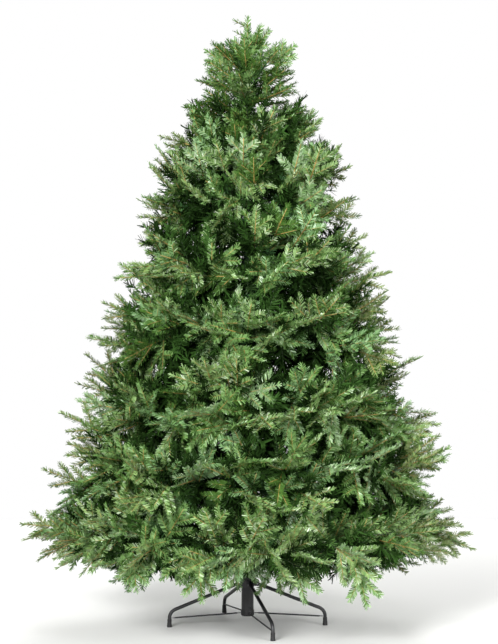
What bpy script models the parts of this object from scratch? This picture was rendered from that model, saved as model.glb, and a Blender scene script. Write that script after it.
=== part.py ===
"""An artificial Christmas tree, 2.1 m tall, on a folding steel stand with four legs.

A stepped steel pole stands in the stand's socket. Seven tiers of boughs and a top hang on the pole, each
bough mass in its own sector of its tier. A mass is a stem that forks into twigs, with toothed sprays of
needles opened out at each twig's end, and a smaller core where the needles are too dense to see through.
The origin is on the floor under the pole. +Z is up, -Y is the front and +X is the right. Lengths are in
metres and angles in radians.
"""

import math
import random
from collections import namedtuple

import bmesh
import bpy
from mathutils import Quaternion, Vector
from mathutils.bvhtree import BVHTree

TAU = math.tau
UP = Vector((0, 0, 1))

# The whole tree, in metres
TREE_HEIGHT = 2.10
FIT_GAP = 0.0003

# The crown's tiers, by the heights of their hinges on the pole and of their tips, and by their reach
TIERS = 7
LOWEST_HINGE = 0.300
HINGE_STEP = 0.205
LOWEST_TIP = 0.310
TIP_STEP = 0.248
LOWEST_REACH = 0.787
HIGHEST_REACH = 0.260
REACH_BULGE = 0.020
RIGHT_LEAN = 0.008

# The space between two tiers sways up and down on the way round, and the sectors curl as they go out
TIER_SWAY = 0.036
SWAY_WAVES = 3
SWAY_TURN = 2.4
SECTOR_TWIST = 0.45
SECTOR_MARGIN = 0.003
TIER_MARGIN = 0.006
POLE_MARGIN = 0.012

# The bough masses: how many in each tier, and the bough ends of each
MASSES_PER_TIER = (8, 7, 7, 6, 5, 5, 4)
ENDS_PER_MASS = 5
SHORTEST_END = 0.93
END_LIFT = 0.26
END_PITCH = math.radians(14)
END_SPREAD = 0.88
MAIN_END_SPRAYS = 2
OTHER_END_SPRAYS = 1

# The hanging boughs under the lowest tier
SKIRT_RADIUS = 0.340
SKIRT_HEIGHT = 0.300
SKIRT_PITCH = math.radians(-36)
SKIRT_BOTTOM = 0.158
SKIRT_RISE = 0.14

# The top: whorls of sprays, by how far under the leader's root, how far opened out, and how many
TOP_WHORLS = (
    (0.006, math.radians(30), 3),
    (0.045, math.radians(42), 4),
    (0.090, math.radians(50), 4),
    (0.135, math.radians(56), 4),
    (0.180, math.radians(58), 4),
)
TOP_ROOT_STEP = 0.007
TOP_FOOT = 1.630
TOP_SLOPE = math.radians(46)

# Boughs, twigs and sprays
STEM_RADIUS = 0.007
STEM_TIP_RADIUS = 0.005
TWIG_RADIUS = 0.0055
TWIG_TIP_RADIUS = 0.0045
WOOD_SIDES = 3
STEM_COLLAR = 0.030
STEM_ARCH = 0.018
LOWEST_SPRAY_LENGTH = 0.262
HIGHEST_SPRAY_LENGTH = 0.196
SPRAY_THICKNESS = 0.026
SPRAY_ROOT_STEP = 0.016
SPRAY_OPENING = (math.radians(42), math.radians(64))
SPRAY_SPLAY = math.radians(62)
SPRAY_TRY_STEP = math.radians(38)
SPRAY_TRY_CLOSER = 0.09
SPRAY_TRIES = 7
SHORTER_SPRAYS = (1.0, 0.86, 0.72)

# The core of a mass, as shares of the space round it: its outer side is all peaks and notches
CORE_INNER_SIDES = ((0.25, 0.80), (0.60, 0.90))
CORE_NOTCHES = (0.53, 0.60)
CORE_PEAKS = (0.69, 0.77)
CORE_ROWS = (-0.92, 0.0, 0.92)
CORE_COLUMNS = 6
CORE_WIDTH = 0.95

# The pole, in three sections, each slimmer than the one below it
POLE_SIDES = 20
POLE_FOOT = 0.0398
POLE_SECTIONS = ((0.0190, 0.720), (0.0165, 1.260), (0.0140, 1.700))

# The stand
SOCKET_SIDES = 20
SOCKET_RADIUS = 0.021
SOCKET_WALL = 0.0014
SOCKET_TOP = 0.215
CUP_BOTTOM = 0.0365
CUP_FLOOR = 0.003
CUP_TOP = 0.0565
CUP_WALL = 0.0016
CUP_ROUND = 0.005
BRACKET_BOTTOM = 0.137
BRACKET_TOP = 0.163
BRACKET_WALL = 0.0018
EAR_THICKNESS = 0.002
EAR_START = 0.0208
EAR_REACH = 0.040
LEG_RADIUS = 0.006
LEG_START_RADIUS = 0.0257
LEG_START_HEIGHT = 0.150
LEG_SLOPE = math.radians(21.7)
LEG_BEND = 0.033
LEG_BEND_STEPS = 5
LEG_CIRCLE = 0.269
FOOT_HEIGHT = 0.027
FOOT_RADIUS = 0.0085
FOOT_NECK = 0.0073
FOOT_SOLE = 0.003
FOOT_SIDES = 10
BRACE_RADIUS = 0.0022
BRACE_HIGH_END = 0.0465
BRACE_LOW_END = 0.0315
SCREW_HEIGHT = 0.066
SCREW_HEAD = 0.004
SCREW_DEPTH = 0.003
LEG_HEADINGS = {"right": 3.9, "rear": 108.2, "left": 184.1, "front": 288.1}

Material = namedtuple("Material", "name color roughness metallic")
NEEDLES = Material("moulded_needles", "#4C6E38", 0.55, 0.0)
BLACK_STEEL = Material("black_powder_coated_steel", "#1E1E21", 0.45, 0.2)
GREEN_STEEL = Material("green_painted_steel", "#26382A", 0.50, 0.2)
RUBBER = Material("black_rubber", "#141415", 0.80, 0.0)

Mass = namedtuple("Mass", "name tier heading half_angle")
BoughEnd = namedtuple("BoughEnd", "point axis inward")
Spray = namedtuple("Spray", "rim middles")


# Scene, materials and plain shapes


def clear_scene():
    for obj in list(bpy.data.objects):
        bpy.data.objects.remove(obj, do_unlink=True)


def linear_color(hex_color):
    channels = [int(hex_color[i : i + 2], 16) / 255 for i in (1, 3, 5)]
    return [c / 12.92 if c <= 0.04045 else ((c + 0.055) / 1.055) ** 2.4 for c in channels]


def paint(obj, finish):
    material = bpy.data.materials.get(finish.name)
    if material is None:
        material = bpy.data.materials.new(finish.name)
        material.use_nodes = True
        shader = material.node_tree.nodes["Principled BSDF"]
        shader.inputs["Base Color"].default_value = (*linear_color(finish.color), 1)
        shader.inputs["Roughness"].default_value = finish.roughness
        shader.inputs["Metallic"].default_value = finish.metallic
    obj.data.materials.clear()
    obj.data.materials.append(material)


def add_object(name, mesh_maker, finish=None):
    """A new object from a bmesh, which this call ends."""
    mesh = bpy.data.meshes.new(name)
    mesh_maker.to_mesh(mesh)
    mesh_maker.free()
    obj = bpy.data.objects.new(name, mesh)
    bpy.context.scene.collection.objects.link(obj)
    if finish:
        paint(obj, finish)
    return obj


def shade_round(obj, sharp_degrees=35):
    obj.data.shade_smooth()
    obj.data.set_sharp_from_angle(angle=math.radians(sharp_degrees))


def heading_vector(heading):
    return Vector((math.cos(heading), math.sin(heading), 0))


def polar(radius, heading, height):
    return heading_vector(heading) * radius + UP * height


def turned(name, profile, sides, finish, location=(0, 0, 0)):
    """A round piece: the profile's (radius, height) points, a closed outline or one that ends on the axis."""
    shape = bmesh.new()
    points = [shape.verts.new((radius, 0, height)) for radius, height in profile]
    on_axis = profile[0][0] == 0 and profile[-1][0] == 0
    pairs = zip(points, points[1:] if on_axis else points[1:] + points[:1])
    edges = [shape.edges.new(pair) for pair in pairs]
    bmesh.ops.spin(
        shape, geom=points + edges, cent=(0, 0, 0), axis=UP, angle=TAU, steps=sides, use_merge=True
    )
    bmesh.ops.remove_doubles(shape, verts=shape.verts, dist=1e-6)
    bmesh.ops.recalc_face_normals(shape, faces=shape.faces)
    obj = add_object(name, shape, finish)
    shade_round(obj)
    obj.location = location
    return obj


def rod(name, points, radius, bevel_resolution, finish):
    """A solid rod along the points, as a bevelled curve with filled caps."""
    curve = bpy.data.curves.new(name, "CURVE")
    curve.dimensions = "3D"
    curve.bevel_depth = radius
    curve.bevel_resolution = bevel_resolution
    curve.use_fill_caps = True
    line = curve.splines.new("POLY")
    line.points.add(len(points) - 1)
    for spline_point, point in zip(line.points, points):
        spline_point.co = (*point, 1)
    obj = bpy.data.objects.new(name, curve)
    bpy.context.scene.collection.objects.link(obj)
    paint(obj, finish)
    return obj


def largest_shell(shape):
    """Leaves only the outer skin of the largest body: loose scraps and the skins of sealed hollows go."""
    shells = []
    unseen = set(shape.faces)
    while unseen:
        shell = {unseen.pop()}
        front = list(shell)
        while front:
            face = front.pop()
            near = {other for edge in face.edges for other in edge.link_faces} & unseen
            unseen -= near
            shell |= near
            front.extend(near)
        shells.append(shell)
    keep = max(shells, key=lambda shell: sum(face.calc_area() for face in shell))
    scraps = [face for shell in shells if shell is not keep for face in shell]
    bmesh.ops.delete(shape, geom=scraps, context="FACES")


def fuse(base, pieces, finish):
    """Joins the pieces onto the base with one Boolean union, and removes them."""
    group = bpy.data.collections.new(base.name + "_pieces")
    for piece in pieces:
        group.objects.link(piece)
        bpy.context.scene.collection.objects.unlink(piece)
    union = base.modifiers.new("union", "BOOLEAN")
    union.operation = "UNION"
    union.operand_type = "COLLECTION"
    union.collection = group
    union.solver = "EXACT"
    bpy.context.view_layer.update()
    evaluated = base.evaluated_get(bpy.context.evaluated_depsgraph_get())
    shape = bmesh.new()
    shape.from_mesh(evaluated.to_mesh())
    evaluated.to_mesh_clear()
    largest_shell(shape)
    bmesh.ops.triangulate(shape, faces=shape.faces)
    base.modifiers.clear()
    shape.to_mesh(base.data)
    shape.free()
    for piece in pieces:
        bpy.data.objects.remove(piece, do_unlink=True)
    bpy.data.collections.remove(group)
    paint(base, finish)


# The stand: socket, cup, bracket, four bent legs with rubber feet, four braces


def build_socket():
    inner = SOCKET_RADIUS - SOCKET_WALL
    bottom = CUP_BOTTOM + CUP_FLOOR + FIT_GAP
    profile = (
        (SOCKET_RADIUS, SOCKET_TOP),
        (SOCKET_RADIUS, bottom),
        (inner, bottom),
        (inner, SOCKET_TOP),
    )
    turned("stand_socket", profile, SOCKET_SIDES, BLACK_STEEL)


def build_cup():
    """The cap that closes the socket's foot, with a rounded lower edge."""
    inner = SOCKET_RADIUS + FIT_GAP
    outer = inner + CUP_WALL
    steps = 3
    rounded = [
        (
            outer - CUP_ROUND + CUP_ROUND * math.cos(angle),
            CUP_BOTTOM + CUP_ROUND - CUP_ROUND * math.sin(angle),
        )
        for angle in (math.pi / 2 * i / steps for i in range(steps + 1))
    ]
    floor = CUP_BOTTOM + CUP_FLOOR
    profile = [(0, floor), (inner, floor), (inner, CUP_TOP), (outer, CUP_TOP), *rounded, (0, CUP_BOTTOM)]
    turned("stand_cup", profile, SOCKET_SIDES, BLACK_STEEL)


def ear(name, heading, side):
    """One of the two plates that a leg's end sits between."""
    shape = bmesh.new()
    bmesh.ops.create_cube(shape, size=1)
    length = EAR_REACH - EAR_START
    bmesh.ops.scale(
        shape, vec=(length, EAR_THICKNESS, (BRACKET_TOP - BRACKET_BOTTOM) * 0.8), verts=shape.verts
    )
    along = heading_vector(heading) * (EAR_START + length / 2)
    across = UP.cross(heading_vector(heading)) * side * (LEG_RADIUS + FIT_GAP + EAR_THICKNESS / 2)
    height = UP * (BRACKET_BOTTOM + BRACKET_TOP) / 2
    bmesh.ops.rotate(
        shape, cent=(0, 0, 0), matrix=Quaternion(UP, heading).to_matrix(), verts=shape.verts
    )
    bmesh.ops.translate(shape, vec=along + across + height, verts=shape.verts)
    return add_object(name, shape)


def build_bracket():
    inner = SOCKET_RADIUS + FIT_GAP
    outer = inner + BRACKET_WALL
    profile = (
        (outer, BRACKET_TOP),
        (outer, BRACKET_BOTTOM),
        (inner, BRACKET_BOTTOM),
        (inner, BRACKET_TOP),
    )
    bracket = turned("stand_bracket", profile, SOCKET_SIDES, BLACK_STEEL)
    ears = [
        ear(f"ear_{place}_{side}", math.radians(degrees), side)
        for place, degrees in LEG_HEADINGS.items()
        for side in (-1, 1)
    ]
    fuse(bracket, ears, BLACK_STEEL)


def leg_path(heading):
    """Down the slope, round the bend and straight down into the foot."""
    out = heading_vector(heading)
    slope = Vector((math.cos(LEG_SLOPE), -math.sin(LEG_SLOPE)))
    turn = math.pi / 2 - LEG_SLOPE
    bend_centre_radius = LEG_CIRCLE - LEG_BEND
    bend_start_radius = bend_centre_radius + LEG_BEND * math.sin(LEG_SLOPE)
    bend_start_height = LEG_START_HEIGHT - (bend_start_radius - LEG_START_RADIUS) * math.tan(LEG_SLOPE)
    bend_centre_height = bend_start_height - LEG_BEND * math.cos(LEG_SLOPE)
    profile = [(LEG_START_RADIUS, LEG_START_HEIGHT)]
    profile.append((LEG_START_RADIUS + slope.x * LEG_RADIUS, LEG_START_HEIGHT + slope.y * LEG_RADIUS))
    for i in range(LEG_BEND_STEPS + 1):
        angle = math.pi / 2 - LEG_SLOPE - turn * i / LEG_BEND_STEPS
        profile.append(
            (
                bend_centre_radius + LEG_BEND * math.cos(angle),
                bend_centre_height + LEG_BEND * math.sin(angle),
            )
        )
    profile.append((LEG_CIRCLE, FOOT_SOLE + FIT_GAP))
    return [out * radius + UP * height for radius, height in profile]


def build_leg(place, heading):
    rod(f"stand_leg_{place}", leg_path(heading), LEG_RADIUS, 2, BLACK_STEEL)


def build_foot(place, heading):
    """A rubber ferrule over the leg's end, wider at the floor."""
    bore = LEG_RADIUS + FIT_GAP * 1.5
    profile = (
        (0, FOOT_SOLE),
        (bore, FOOT_SOLE),
        (bore, FOOT_HEIGHT),
        (FOOT_NECK, FOOT_HEIGHT),
        (FOOT_RADIUS, 0.004),
        (FOOT_RADIUS, 0),
        (0, 0),
    )
    turned(f"stand_foot_{place}", profile, FOOT_SIDES, RUBBER, polar(LEG_CIRCLE, heading, 0))


def build_brace(place, heading):
    """A thin stay from the cup to the leg, just above the rubber foot."""
    cup_radius = SOCKET_RADIUS + FIT_GAP + CUP_WALL
    start = polar(cup_radius + FIT_GAP * 2, heading, BRACE_HIGH_END)
    end = polar(LEG_CIRCLE - LEG_RADIUS - FIT_GAP * 2, heading, BRACE_LOW_END)
    rod(f"stand_brace_{place}", [start, end], BRACE_RADIUS, 2, BLACK_STEEL)


def build_screw():
    """The pan head of the screw that locks the pole, on the flat of the socket beside the front leg."""
    flat = TAU / SOCKET_SIDES
    heading = (round(math.radians(LEG_HEADINGS["front"]) / flat - 0.5) + 0.5) * flat
    profile = ((0, SCREW_DEPTH), (SCREW_HEAD * 0.6, SCREW_DEPTH), (SCREW_HEAD, SCREW_DEPTH * 0.5))
    screw = turned("stand_screw", (*profile, (SCREW_HEAD, 0), (0, 0)), 12, BLACK_STEEL)
    flat_radius = SOCKET_RADIUS * math.cos(flat / 2) + FIT_GAP
    screw.location = polar(flat_radius, heading, SCREW_HEIGHT)
    screw.rotation_mode = "QUATERNION"
    screw.rotation_quaternion = heading_vector(heading).to_track_quat("Z", "Y")


def build_stand():
    build_socket()
    build_cup()
    build_bracket()
    build_screw()
    for place, degrees in LEG_HEADINGS.items():
        heading = math.radians(degrees)
        build_leg(place, heading)
        build_foot(place, heading)
        build_brace(place, heading)


# The pole


def pole_radius(height):
    return next((radius for radius, top in POLE_SECTIONS if height <= top), POLE_SECTIONS[-1][0])


def build_pole():
    profile = [(0, POLE_FOOT)]
    bottom = POLE_FOOT
    for radius, top in POLE_SECTIONS:
        profile += [(radius, bottom), (radius, top)]
        bottom = top
    profile.append((0, bottom))
    turned("pole", profile, POLE_SIDES, GREEN_STEEL)


# The crown's rule: where each tier's tips reach, and the space each bough mass keeps to


def hinge_height(tier):
    return LOWEST_HINGE + HINGE_STEP * tier


def tip_height(tier):
    return LOWEST_TIP + TIP_STEP * tier


def mean_reach(tier):
    share = tier / (TIERS - 1)
    straight = LOWEST_REACH + (HIGHEST_REACH - LOWEST_REACH) * share
    return straight + REACH_BULGE * math.sin(math.pi * share)


def reach(tier, heading):
    return mean_reach(tier) * (1 + RIGHT_LEAN * math.cos(heading))


def spray_length(tier):
    return LOWEST_SPRAY_LENGTH + (HIGHEST_SPRAY_LENGTH - LOWEST_SPRAY_LENGTH) * tier / TIERS


def centre_height(tier, radius):
    rise = tip_height(tier) - hinge_height(tier)
    return hinge_height(tier) + rise * radius / mean_reach(tier)


def underside(radius):
    """The lowest that foliage hangs: clear of the floor and of the stand's sloping legs."""
    leg_height = LEG_START_HEIGHT - (radius - LEG_START_RADIUS) * math.tan(LEG_SLOPE)
    over_legs = leg_height + 3 * LEG_RADIUS if radius < LEG_CIRCLE + 3 * LEG_RADIUS else 0
    return max(SKIRT_BOTTOM + SKIRT_RISE * max(0, radius - SKIRT_RADIUS), over_legs)


def floor_of(tier, radius, heading):
    """Halfway from the tier below, up and down a little on the way round."""
    if tier == 0:
        return underside(radius)
    if tier == TIERS:
        return TOP_FOOT + radius * math.tan(TOP_SLOPE)
    sway = TIER_SWAY * math.sin(SWAY_WAVES * heading + SWAY_TURN * tier) * radius / mean_reach(tier)
    return (centre_height(tier - 1, radius) + centre_height(tier, radius)) / 2 + sway + TIER_MARGIN


def ceiling_of(tier, radius, heading):
    if tier == TIERS:
        return TREE_HEIGHT
    return floor_of(tier + 1, radius, heading) - 2 * TIER_MARGIN


def sector_heading(mass, radius, share=0):
    """The heading of the middle of a mass's sector, or of a share of the sector's half width beside it."""
    return mass.heading + SECTOR_TWIST * radius + share * mass.half_angle


def in_own_space(mass, point):
    radius = math.hypot(point.x, point.y)
    heading = math.atan2(point.y, point.x)
    height = point.z
    if not floor_of(mass.tier, radius, heading) <= height <= ceiling_of(mass.tier, radius, heading):
        return False
    if height < POLE_SECTIONS[-1][1] + POLE_MARGIN and radius < pole_radius(height) + POLE_MARGIN:
        return False
    if radius > mean_reach(mass.tier) * (1 + RIGHT_LEAN) + POLE_MARGIN:
        return False
    if mass.tier == TIERS:
        return True
    offset = math.remainder(heading - sector_heading(mass, radius), TAU)
    return (mass.half_angle - abs(offset)) * radius > SECTOR_MARGIN


def masses():
    for tier in range(TIERS):
        count = MASSES_PER_TIER[tier]
        half_angle = math.pi / count
        for i in range(count):
            curl = SECTOR_TWIST * (mean_reach(tier) - spray_length(tier))
            heading = 2 * half_angle * i + half_angle * (tier % 2) - curl
            name = f"foliage_{tier + 1}_{i + 1}"
            yield Mass(name, tier, heading, half_angle)


# Twigs and sprays


def wood(name, points, radii):
    """A three-sided limb along the points."""
    shape = bmesh.new()
    rings = []
    for i, (point, radius) in enumerate(zip(points, radii)):
        ahead = points[min(i + 1, len(points) - 1)] - points[max(i - 1, 0)]
        facing = (points[1] - points[0] if i == 0 else ahead).to_track_quat("Z", "Y")
        angles = [TAU * side / WOOD_SIDES for side in range(WOOD_SIDES)]
        corners = [Vector((math.cos(a), math.sin(a), 0)) * radius for a in angles]
        rings.append([shape.verts.new(point + facing @ corner) for corner in corners])
    for low, high in zip(rings, rings[1:]):
        for side in range(WOOD_SIDES):
            following = (side + 1) % WOOD_SIDES
            shape.faces.new((low[side], low[following], high[following], high[side]))
    shape.faces.new(rings[0][::-1])
    shape.faces.new(rings[-1])
    bmesh.ops.recalc_face_normals(shape, faces=shape.faces)
    return add_object(name, shape)


def tooth_outline(pairs):
    """One side of a spray, from root to tip, as shares of its length: each tooth is a side shoot."""
    if pairs == 2:
        return ((0.42, 0.31), (0.50, 0.13), (0.74, 0.26), (0.79, 0.09))
    return ((0.56, 0.33), (0.64, 0.12))


def spray_shape(root, direction, face, length, pairs):
    """A spray's rim, from its root round by its tip, and its two middle points."""
    side = direction.cross(face).normalized()
    teeth = tooth_outline(pairs)
    outline = [(0, 0), *teeth, (1, 0), *((along, -across) for along, across in reversed(teeth))]
    rim = [root + (direction * along + side * across) * length for along, across in outline]
    middle = root + direction * length * (0.50 if pairs == 2 else 0.46)
    lift = side.cross(direction).normalized() * SPRAY_THICKNESS / 2
    return Spray(rim, (middle + lift, middle - lift))


def spray_faces(corners):
    """Two fans of triangles, one to each middle point."""
    return [
        (i, (i + 1) % corners, corners + middle) for middle in range(2) for i in range(corners)
    ]


def spray_object(name, spray):
    shape = bmesh.new()
    verts = [shape.verts.new(point) for point in (*spray.rim, *spray.middles)]
    for face in spray_faces(len(spray.rim)):
        shape.faces.new([verts[i] for i in face])
    bmesh.ops.recalc_face_normals(shape, faces=shape.faces)
    return add_object(name, shape)


def tilted(axis, opening, around):
    """The axis tilted by an angle, towards a bearing around it that counts from straight down."""
    level = UP.cross(axis)
    level = level.normalized() if level.length > 0.01 else Vector((1, 0, 0))
    hinge = Quaternion(axis, around) @ level
    return Quaternion(hinge, opening) @ axis


class Sprays:
    """The sprays of one mass: a new one is taken only where it keeps to the mass's space, clear of the rest."""

    def __init__(self, mass):
        self.mass = mass
        self.taken = []
        self.trees = []

    def fits(self, spray):
        points = (*spray.rim, *spray.middles)
        if not all(in_own_space(self.mass, point) for point in points[1:]):
            return False
        tree = BVHTree.FromPolygons(points, spray_faces(len(spray.rim)))
        if any(tree.overlap(other) for other in self.trees):
            return False
        self.trees.append(tree)
        self.taken.append(spray)
        return True

    def add(self, root, directions, face, pairs):
        """Takes the first direction, and the greatest length along it, that fits."""
        for direction in directions:
            for share in SHORTER_SPRAYS:
                length = spray_length(self.mass.tier) * share
                if self.fits(spray_shape(root, direction, face, length, pairs)):
                    return

    def add_end(self, end, pairs, side_sprays, chance):
        """One spray straight on from a bough's end, and others opened out behind it."""
        ahead = tilted(end.axis, chance.uniform(0, 0.12), chance.uniform(0, TAU))
        face = Quaternion(ahead, chance.uniform(-1.4, 1.4)) @ UP
        self.add(end.point - end.axis * SPRAY_ROOT_STEP / 2, [ahead], face, pairs)
        for i in range(side_sprays):
            side = 1 if i % 2 else -1
            opening = chance.uniform(*SPRAY_OPENING)
            splay = SPRAY_SPLAY if i < 2 else math.pi
            around = end.inward + side * splay + chance.uniform(-0.2, 0.2)
            directions = [
                tilted(
                    end.axis,
                    opening * (1 - SPRAY_TRY_CLOSER * attempt),
                    around + side * SPRAY_TRY_STEP * attempt,
                )
                for attempt in range(SPRAY_TRIES)
            ]
            root = end.point - end.axis * SPRAY_ROOT_STEP * (1.5 + i)
            self.add(root, directions, end.axis, 1)

    def objects(self):
        return [spray_object("spray", spray) for spray in self.taken]


def bough_ends(mass, chance):
    """The ends of the mass's boughs, spread over its sector, high and low by turns."""
    rise = tip_height(mass.tier) - hinge_height(mass.tier)
    slope = math.atan2(rise, mean_reach(mass.tier))
    for i in range(ENDS_PER_MASS):
        share = (i + 0.5) / ENDS_PER_MASS * 2 - 1
        shorter = 1 if i == ENDS_PER_MASS // 2 else chance.uniform(SHORTEST_END, 1)
        end_radius = mean_reach(mass.tier) * shorter - spray_length(mass.tier)
        heading = sector_heading(mass, end_radius, share * END_SPREAD)
        sign = -1 if (i + mass.tier) % 2 == 0 else 1
        pitch = slope + sign * END_PITCH
        axis = heading_vector(heading) * math.cos(pitch) + UP * math.sin(pitch)
        tip_radius = reach(mass.tier, heading) * shorter
        low = floor_of(mass.tier, tip_radius, heading)
        high = ceiling_of(mass.tier, tip_radius, heading)
        tip = polar(tip_radius, heading, (low + high) / 2 + sign * END_LIFT * (high - low))
        yield BoughEnd(tip - axis * spray_length(mass.tier), axis, 0 if sign > 0 else math.pi)


def skirt_end(mass):
    """The bough end that hangs under a mass of the lowest tier."""
    heading = sector_heading(mass, SKIRT_RADIUS)
    axis = heading_vector(heading) * math.cos(SKIRT_PITCH) + UP * math.sin(SKIRT_PITCH)
    return BoughEnd(polar(SKIRT_RADIUS, heading, SKIRT_HEIGHT), axis, math.pi)


def core(mass, chance):
    """The dense inside of a mass: it fills the sector towards the pole and ends outside in short peaks."""
    shape = bmesh.new()
    middle = (CORE_COLUMNS - 1) / 2

    def corner(radius, width_share, depth_share):
        heading = sector_heading(mass, radius, width_share)
        low = floor_of(mass.tier, radius, heading)
        high = ceiling_of(mass.tier, radius, heading)
        height = (low + high) / 2 + (high - low) / 2 * depth_share
        return shape.verts.new(polar(radius, heading, height))

    def outer_corner(row, column):
        shares = CORE_NOTCHES if (row + column) % 2 else CORE_PEAKS
        radius = mean_reach(mass.tier) * chance.uniform(*shares)
        return corner(radius, CORE_WIDTH * (column - middle) / middle, CORE_ROWS[row])

    def inner_corners(row, side):
        radius = mean_reach(mass.tier) * CORE_NOTCHES[0]
        return [corner(radius * out, side * width, CORE_ROWS[row]) for out, width in CORE_INNER_SIDES]

    last = len(CORE_ROWS) - 1
    rows = [[outer_corner(row, column) for column in range(CORE_COLUMNS)] for row in range(last + 1)]
    for row, (low, high) in enumerate(zip(rows, rows[1:])):
        for i in range(CORE_COLUMNS - 1):
            quad = (low[i], low[i + 1], high[i + 1], high[i])
            for corners in ((0, 1, 3), (1, 2, 3)) if (row + i) % 2 == 0 else ((0, 1, 2), (0, 2, 3)):
                shape.faces.new([quad[corner_index] for corner_index in corners])
    ends = {(row, side): inner_corners(row, side) for row in (0, last) for side in (-1, 1)}
    for column, side in ((0, -1), (CORE_COLUMNS - 1, 1)):
        bottom, top = ends[0, side], ends[last, side]
        low, level, high = (row[column] for row in rows)
        shape.faces.new((bottom[0], bottom[1], top[1], top[0]))
        shape.faces.new((bottom[1], low, level))
        shape.faces.new((bottom[1], level, top[1]))
        shape.faces.new((top[1], level, high))
    half = CORE_COLUMNS // 2
    for row in (0, last):
        left, right = ends[row, -1], ends[row, 1]
        for i in range(CORE_COLUMNS - 1):
            near = left[1] if i < half else right[1]
            shape.faces.new((near, rows[row][i], rows[row][i + 1]))
        shape.faces.new((left[1], rows[row][half], right[1]))
        shape.faces.new((left[0], left[1], right[1], right[0]))
    shape.faces.new((ends[0, -1][0], ends[last, -1][0], ends[last, 1][0], ends[0, 1][0]))
    bmesh.ops.recalc_face_normals(shape, faces=shape.faces)
    return add_object("core", shape)


def stem_point(mass, end, share):
    """A point of the main bough, from the pole's surface to its end, a little arched."""
    start_radius = pole_radius(hinge_height(mass.tier)) + FIT_GAP
    end_radius = math.hypot(end.point.x, end.point.y)
    height = hinge_height(mass.tier) * (1 - share) + end.point.z * share
    arch = STEM_ARCH * math.sin(math.pi * share)
    radius = start_radius + (end_radius - start_radius) * share
    return polar(radius, sector_heading(mass, radius), height + arch)


def build_mass(mass):
    chance = random.Random(mass.name)
    ends = list(bough_ends(mass, chance))
    main = ends.pop(ENDS_PER_MASS // 2)
    if mass.tier == 0:
        ends.append(skirt_end(mass))
    root = stem_point(mass, main, 0)
    collar = root + heading_vector(mass.heading) * STEM_COLLAR
    fork = stem_point(mass, main, 0.5)
    mid_radius = (STEM_RADIUS + STEM_TIP_RADIUS) / 2
    radii = [STEM_RADIUS, STEM_RADIUS, mid_radius, STEM_TIP_RADIUS]
    stem = wood(mass.name, [root, collar, fork, main.point], radii)
    twigs = [wood("twig", [fork, end.point], [TWIG_RADIUS, TWIG_TIP_RADIUS]) for end in ends]
    sprays = Sprays(mass)
    sprays.add_end(main, 2, MAIN_END_SPRAYS, chance)
    for end in ends:
        sprays.add_end(end, 1, OTHER_END_SPRAYS, chance)
    inside = core(mass, chance)
    fuse(stem, [inside, *twigs, *sprays.objects()], NEEDLES)


def build_top():
    """The top's own mass: an upright leader from the pole's tip, with whorls of sprays round it."""
    mass = Mass("foliage_top", TIERS, 0, math.pi)
    chance = random.Random(mass.name)
    foot = UP * (POLE_SECTIONS[-1][1] + FIT_GAP)
    tip = UP * (TREE_HEIGHT - spray_length(TIERS) + SPRAY_ROOT_STEP / 2)
    stem = wood(mass.name, [foot, tip], [STEM_RADIUS, STEM_TIP_RADIUS])
    sprays = Sprays(mass)
    sprays.add(tip - UP * SPRAY_ROOT_STEP / 2, [UP], Vector((0, -1, 0)), 2)
    for drop, opening, count in TOP_WHORLS:
        start = chance.uniform(0, TAU)
        for i in range(count):
            direction = tilted(UP, opening, start + TAU * i / count)
            face = Quaternion(direction, chance.uniform(-1.2, 1.2)) @ UP
            sprays.add(tip - UP * (drop + TOP_ROOT_STEP * i), [direction], face, 1)
    fuse(stem, sprays.objects(), NEEDLES)


def main():
    clear_scene()
    build_stand()
    build_pole()
    for mass in masses():
        build_mass(mass)
    build_top()


main()
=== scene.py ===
"""The looks of an artificial Christmas tree on a folding steel stand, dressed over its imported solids.

The pieces come in the order in which the tree is put together: stand, pole, hinge rings, boughs, then the
needles, moulded and cut. Lengths are in metres. Angles are in radians, or in degrees where a comment or a
name says so. +Z is up and -Y is the front.
"""

import math
import random
from collections import namedtuple

import bmesh
import bpy
import numpy as np
from mathutils import Matrix, Quaternion, Vector


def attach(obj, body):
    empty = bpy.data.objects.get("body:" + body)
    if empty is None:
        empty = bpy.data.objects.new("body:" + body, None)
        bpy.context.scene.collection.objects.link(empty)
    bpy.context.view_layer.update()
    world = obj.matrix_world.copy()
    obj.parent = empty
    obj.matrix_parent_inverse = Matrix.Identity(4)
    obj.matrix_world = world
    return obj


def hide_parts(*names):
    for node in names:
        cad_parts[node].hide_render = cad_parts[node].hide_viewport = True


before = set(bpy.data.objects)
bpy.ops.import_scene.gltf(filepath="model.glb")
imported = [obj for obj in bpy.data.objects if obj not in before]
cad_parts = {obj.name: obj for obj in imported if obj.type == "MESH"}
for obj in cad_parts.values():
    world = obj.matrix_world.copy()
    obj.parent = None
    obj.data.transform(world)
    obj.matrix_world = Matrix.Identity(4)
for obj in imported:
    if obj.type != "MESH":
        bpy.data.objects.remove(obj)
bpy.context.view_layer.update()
TAU = math.tau
UP = Vector((0, 0, 1))


# The camera stands level in front of the tree, half as high as the tree, and sees it through a long lens.
CAMERA_PLACE = (0.005, -5.517, 1.049)
CAMERA_LENS_MM = 89.4

camera = bpy.data.objects.new("camera", bpy.data.cameras.new("camera"))
bpy.context.scene.collection.objects.link(camera)
bpy.context.scene.camera = camera
camera.data.lens = CAMERA_LENS_MM
camera.location = CAMERA_PLACE
camera.rotation_euler = (math.pi / 2, 0, 0)


# The studio floor is a wide sheet of matt white paper, so pale that it runs into the white behind the tree.
FLOOR_RADIUS = 3.2
PAPER_FIBRE_MM = 4.0


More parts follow.
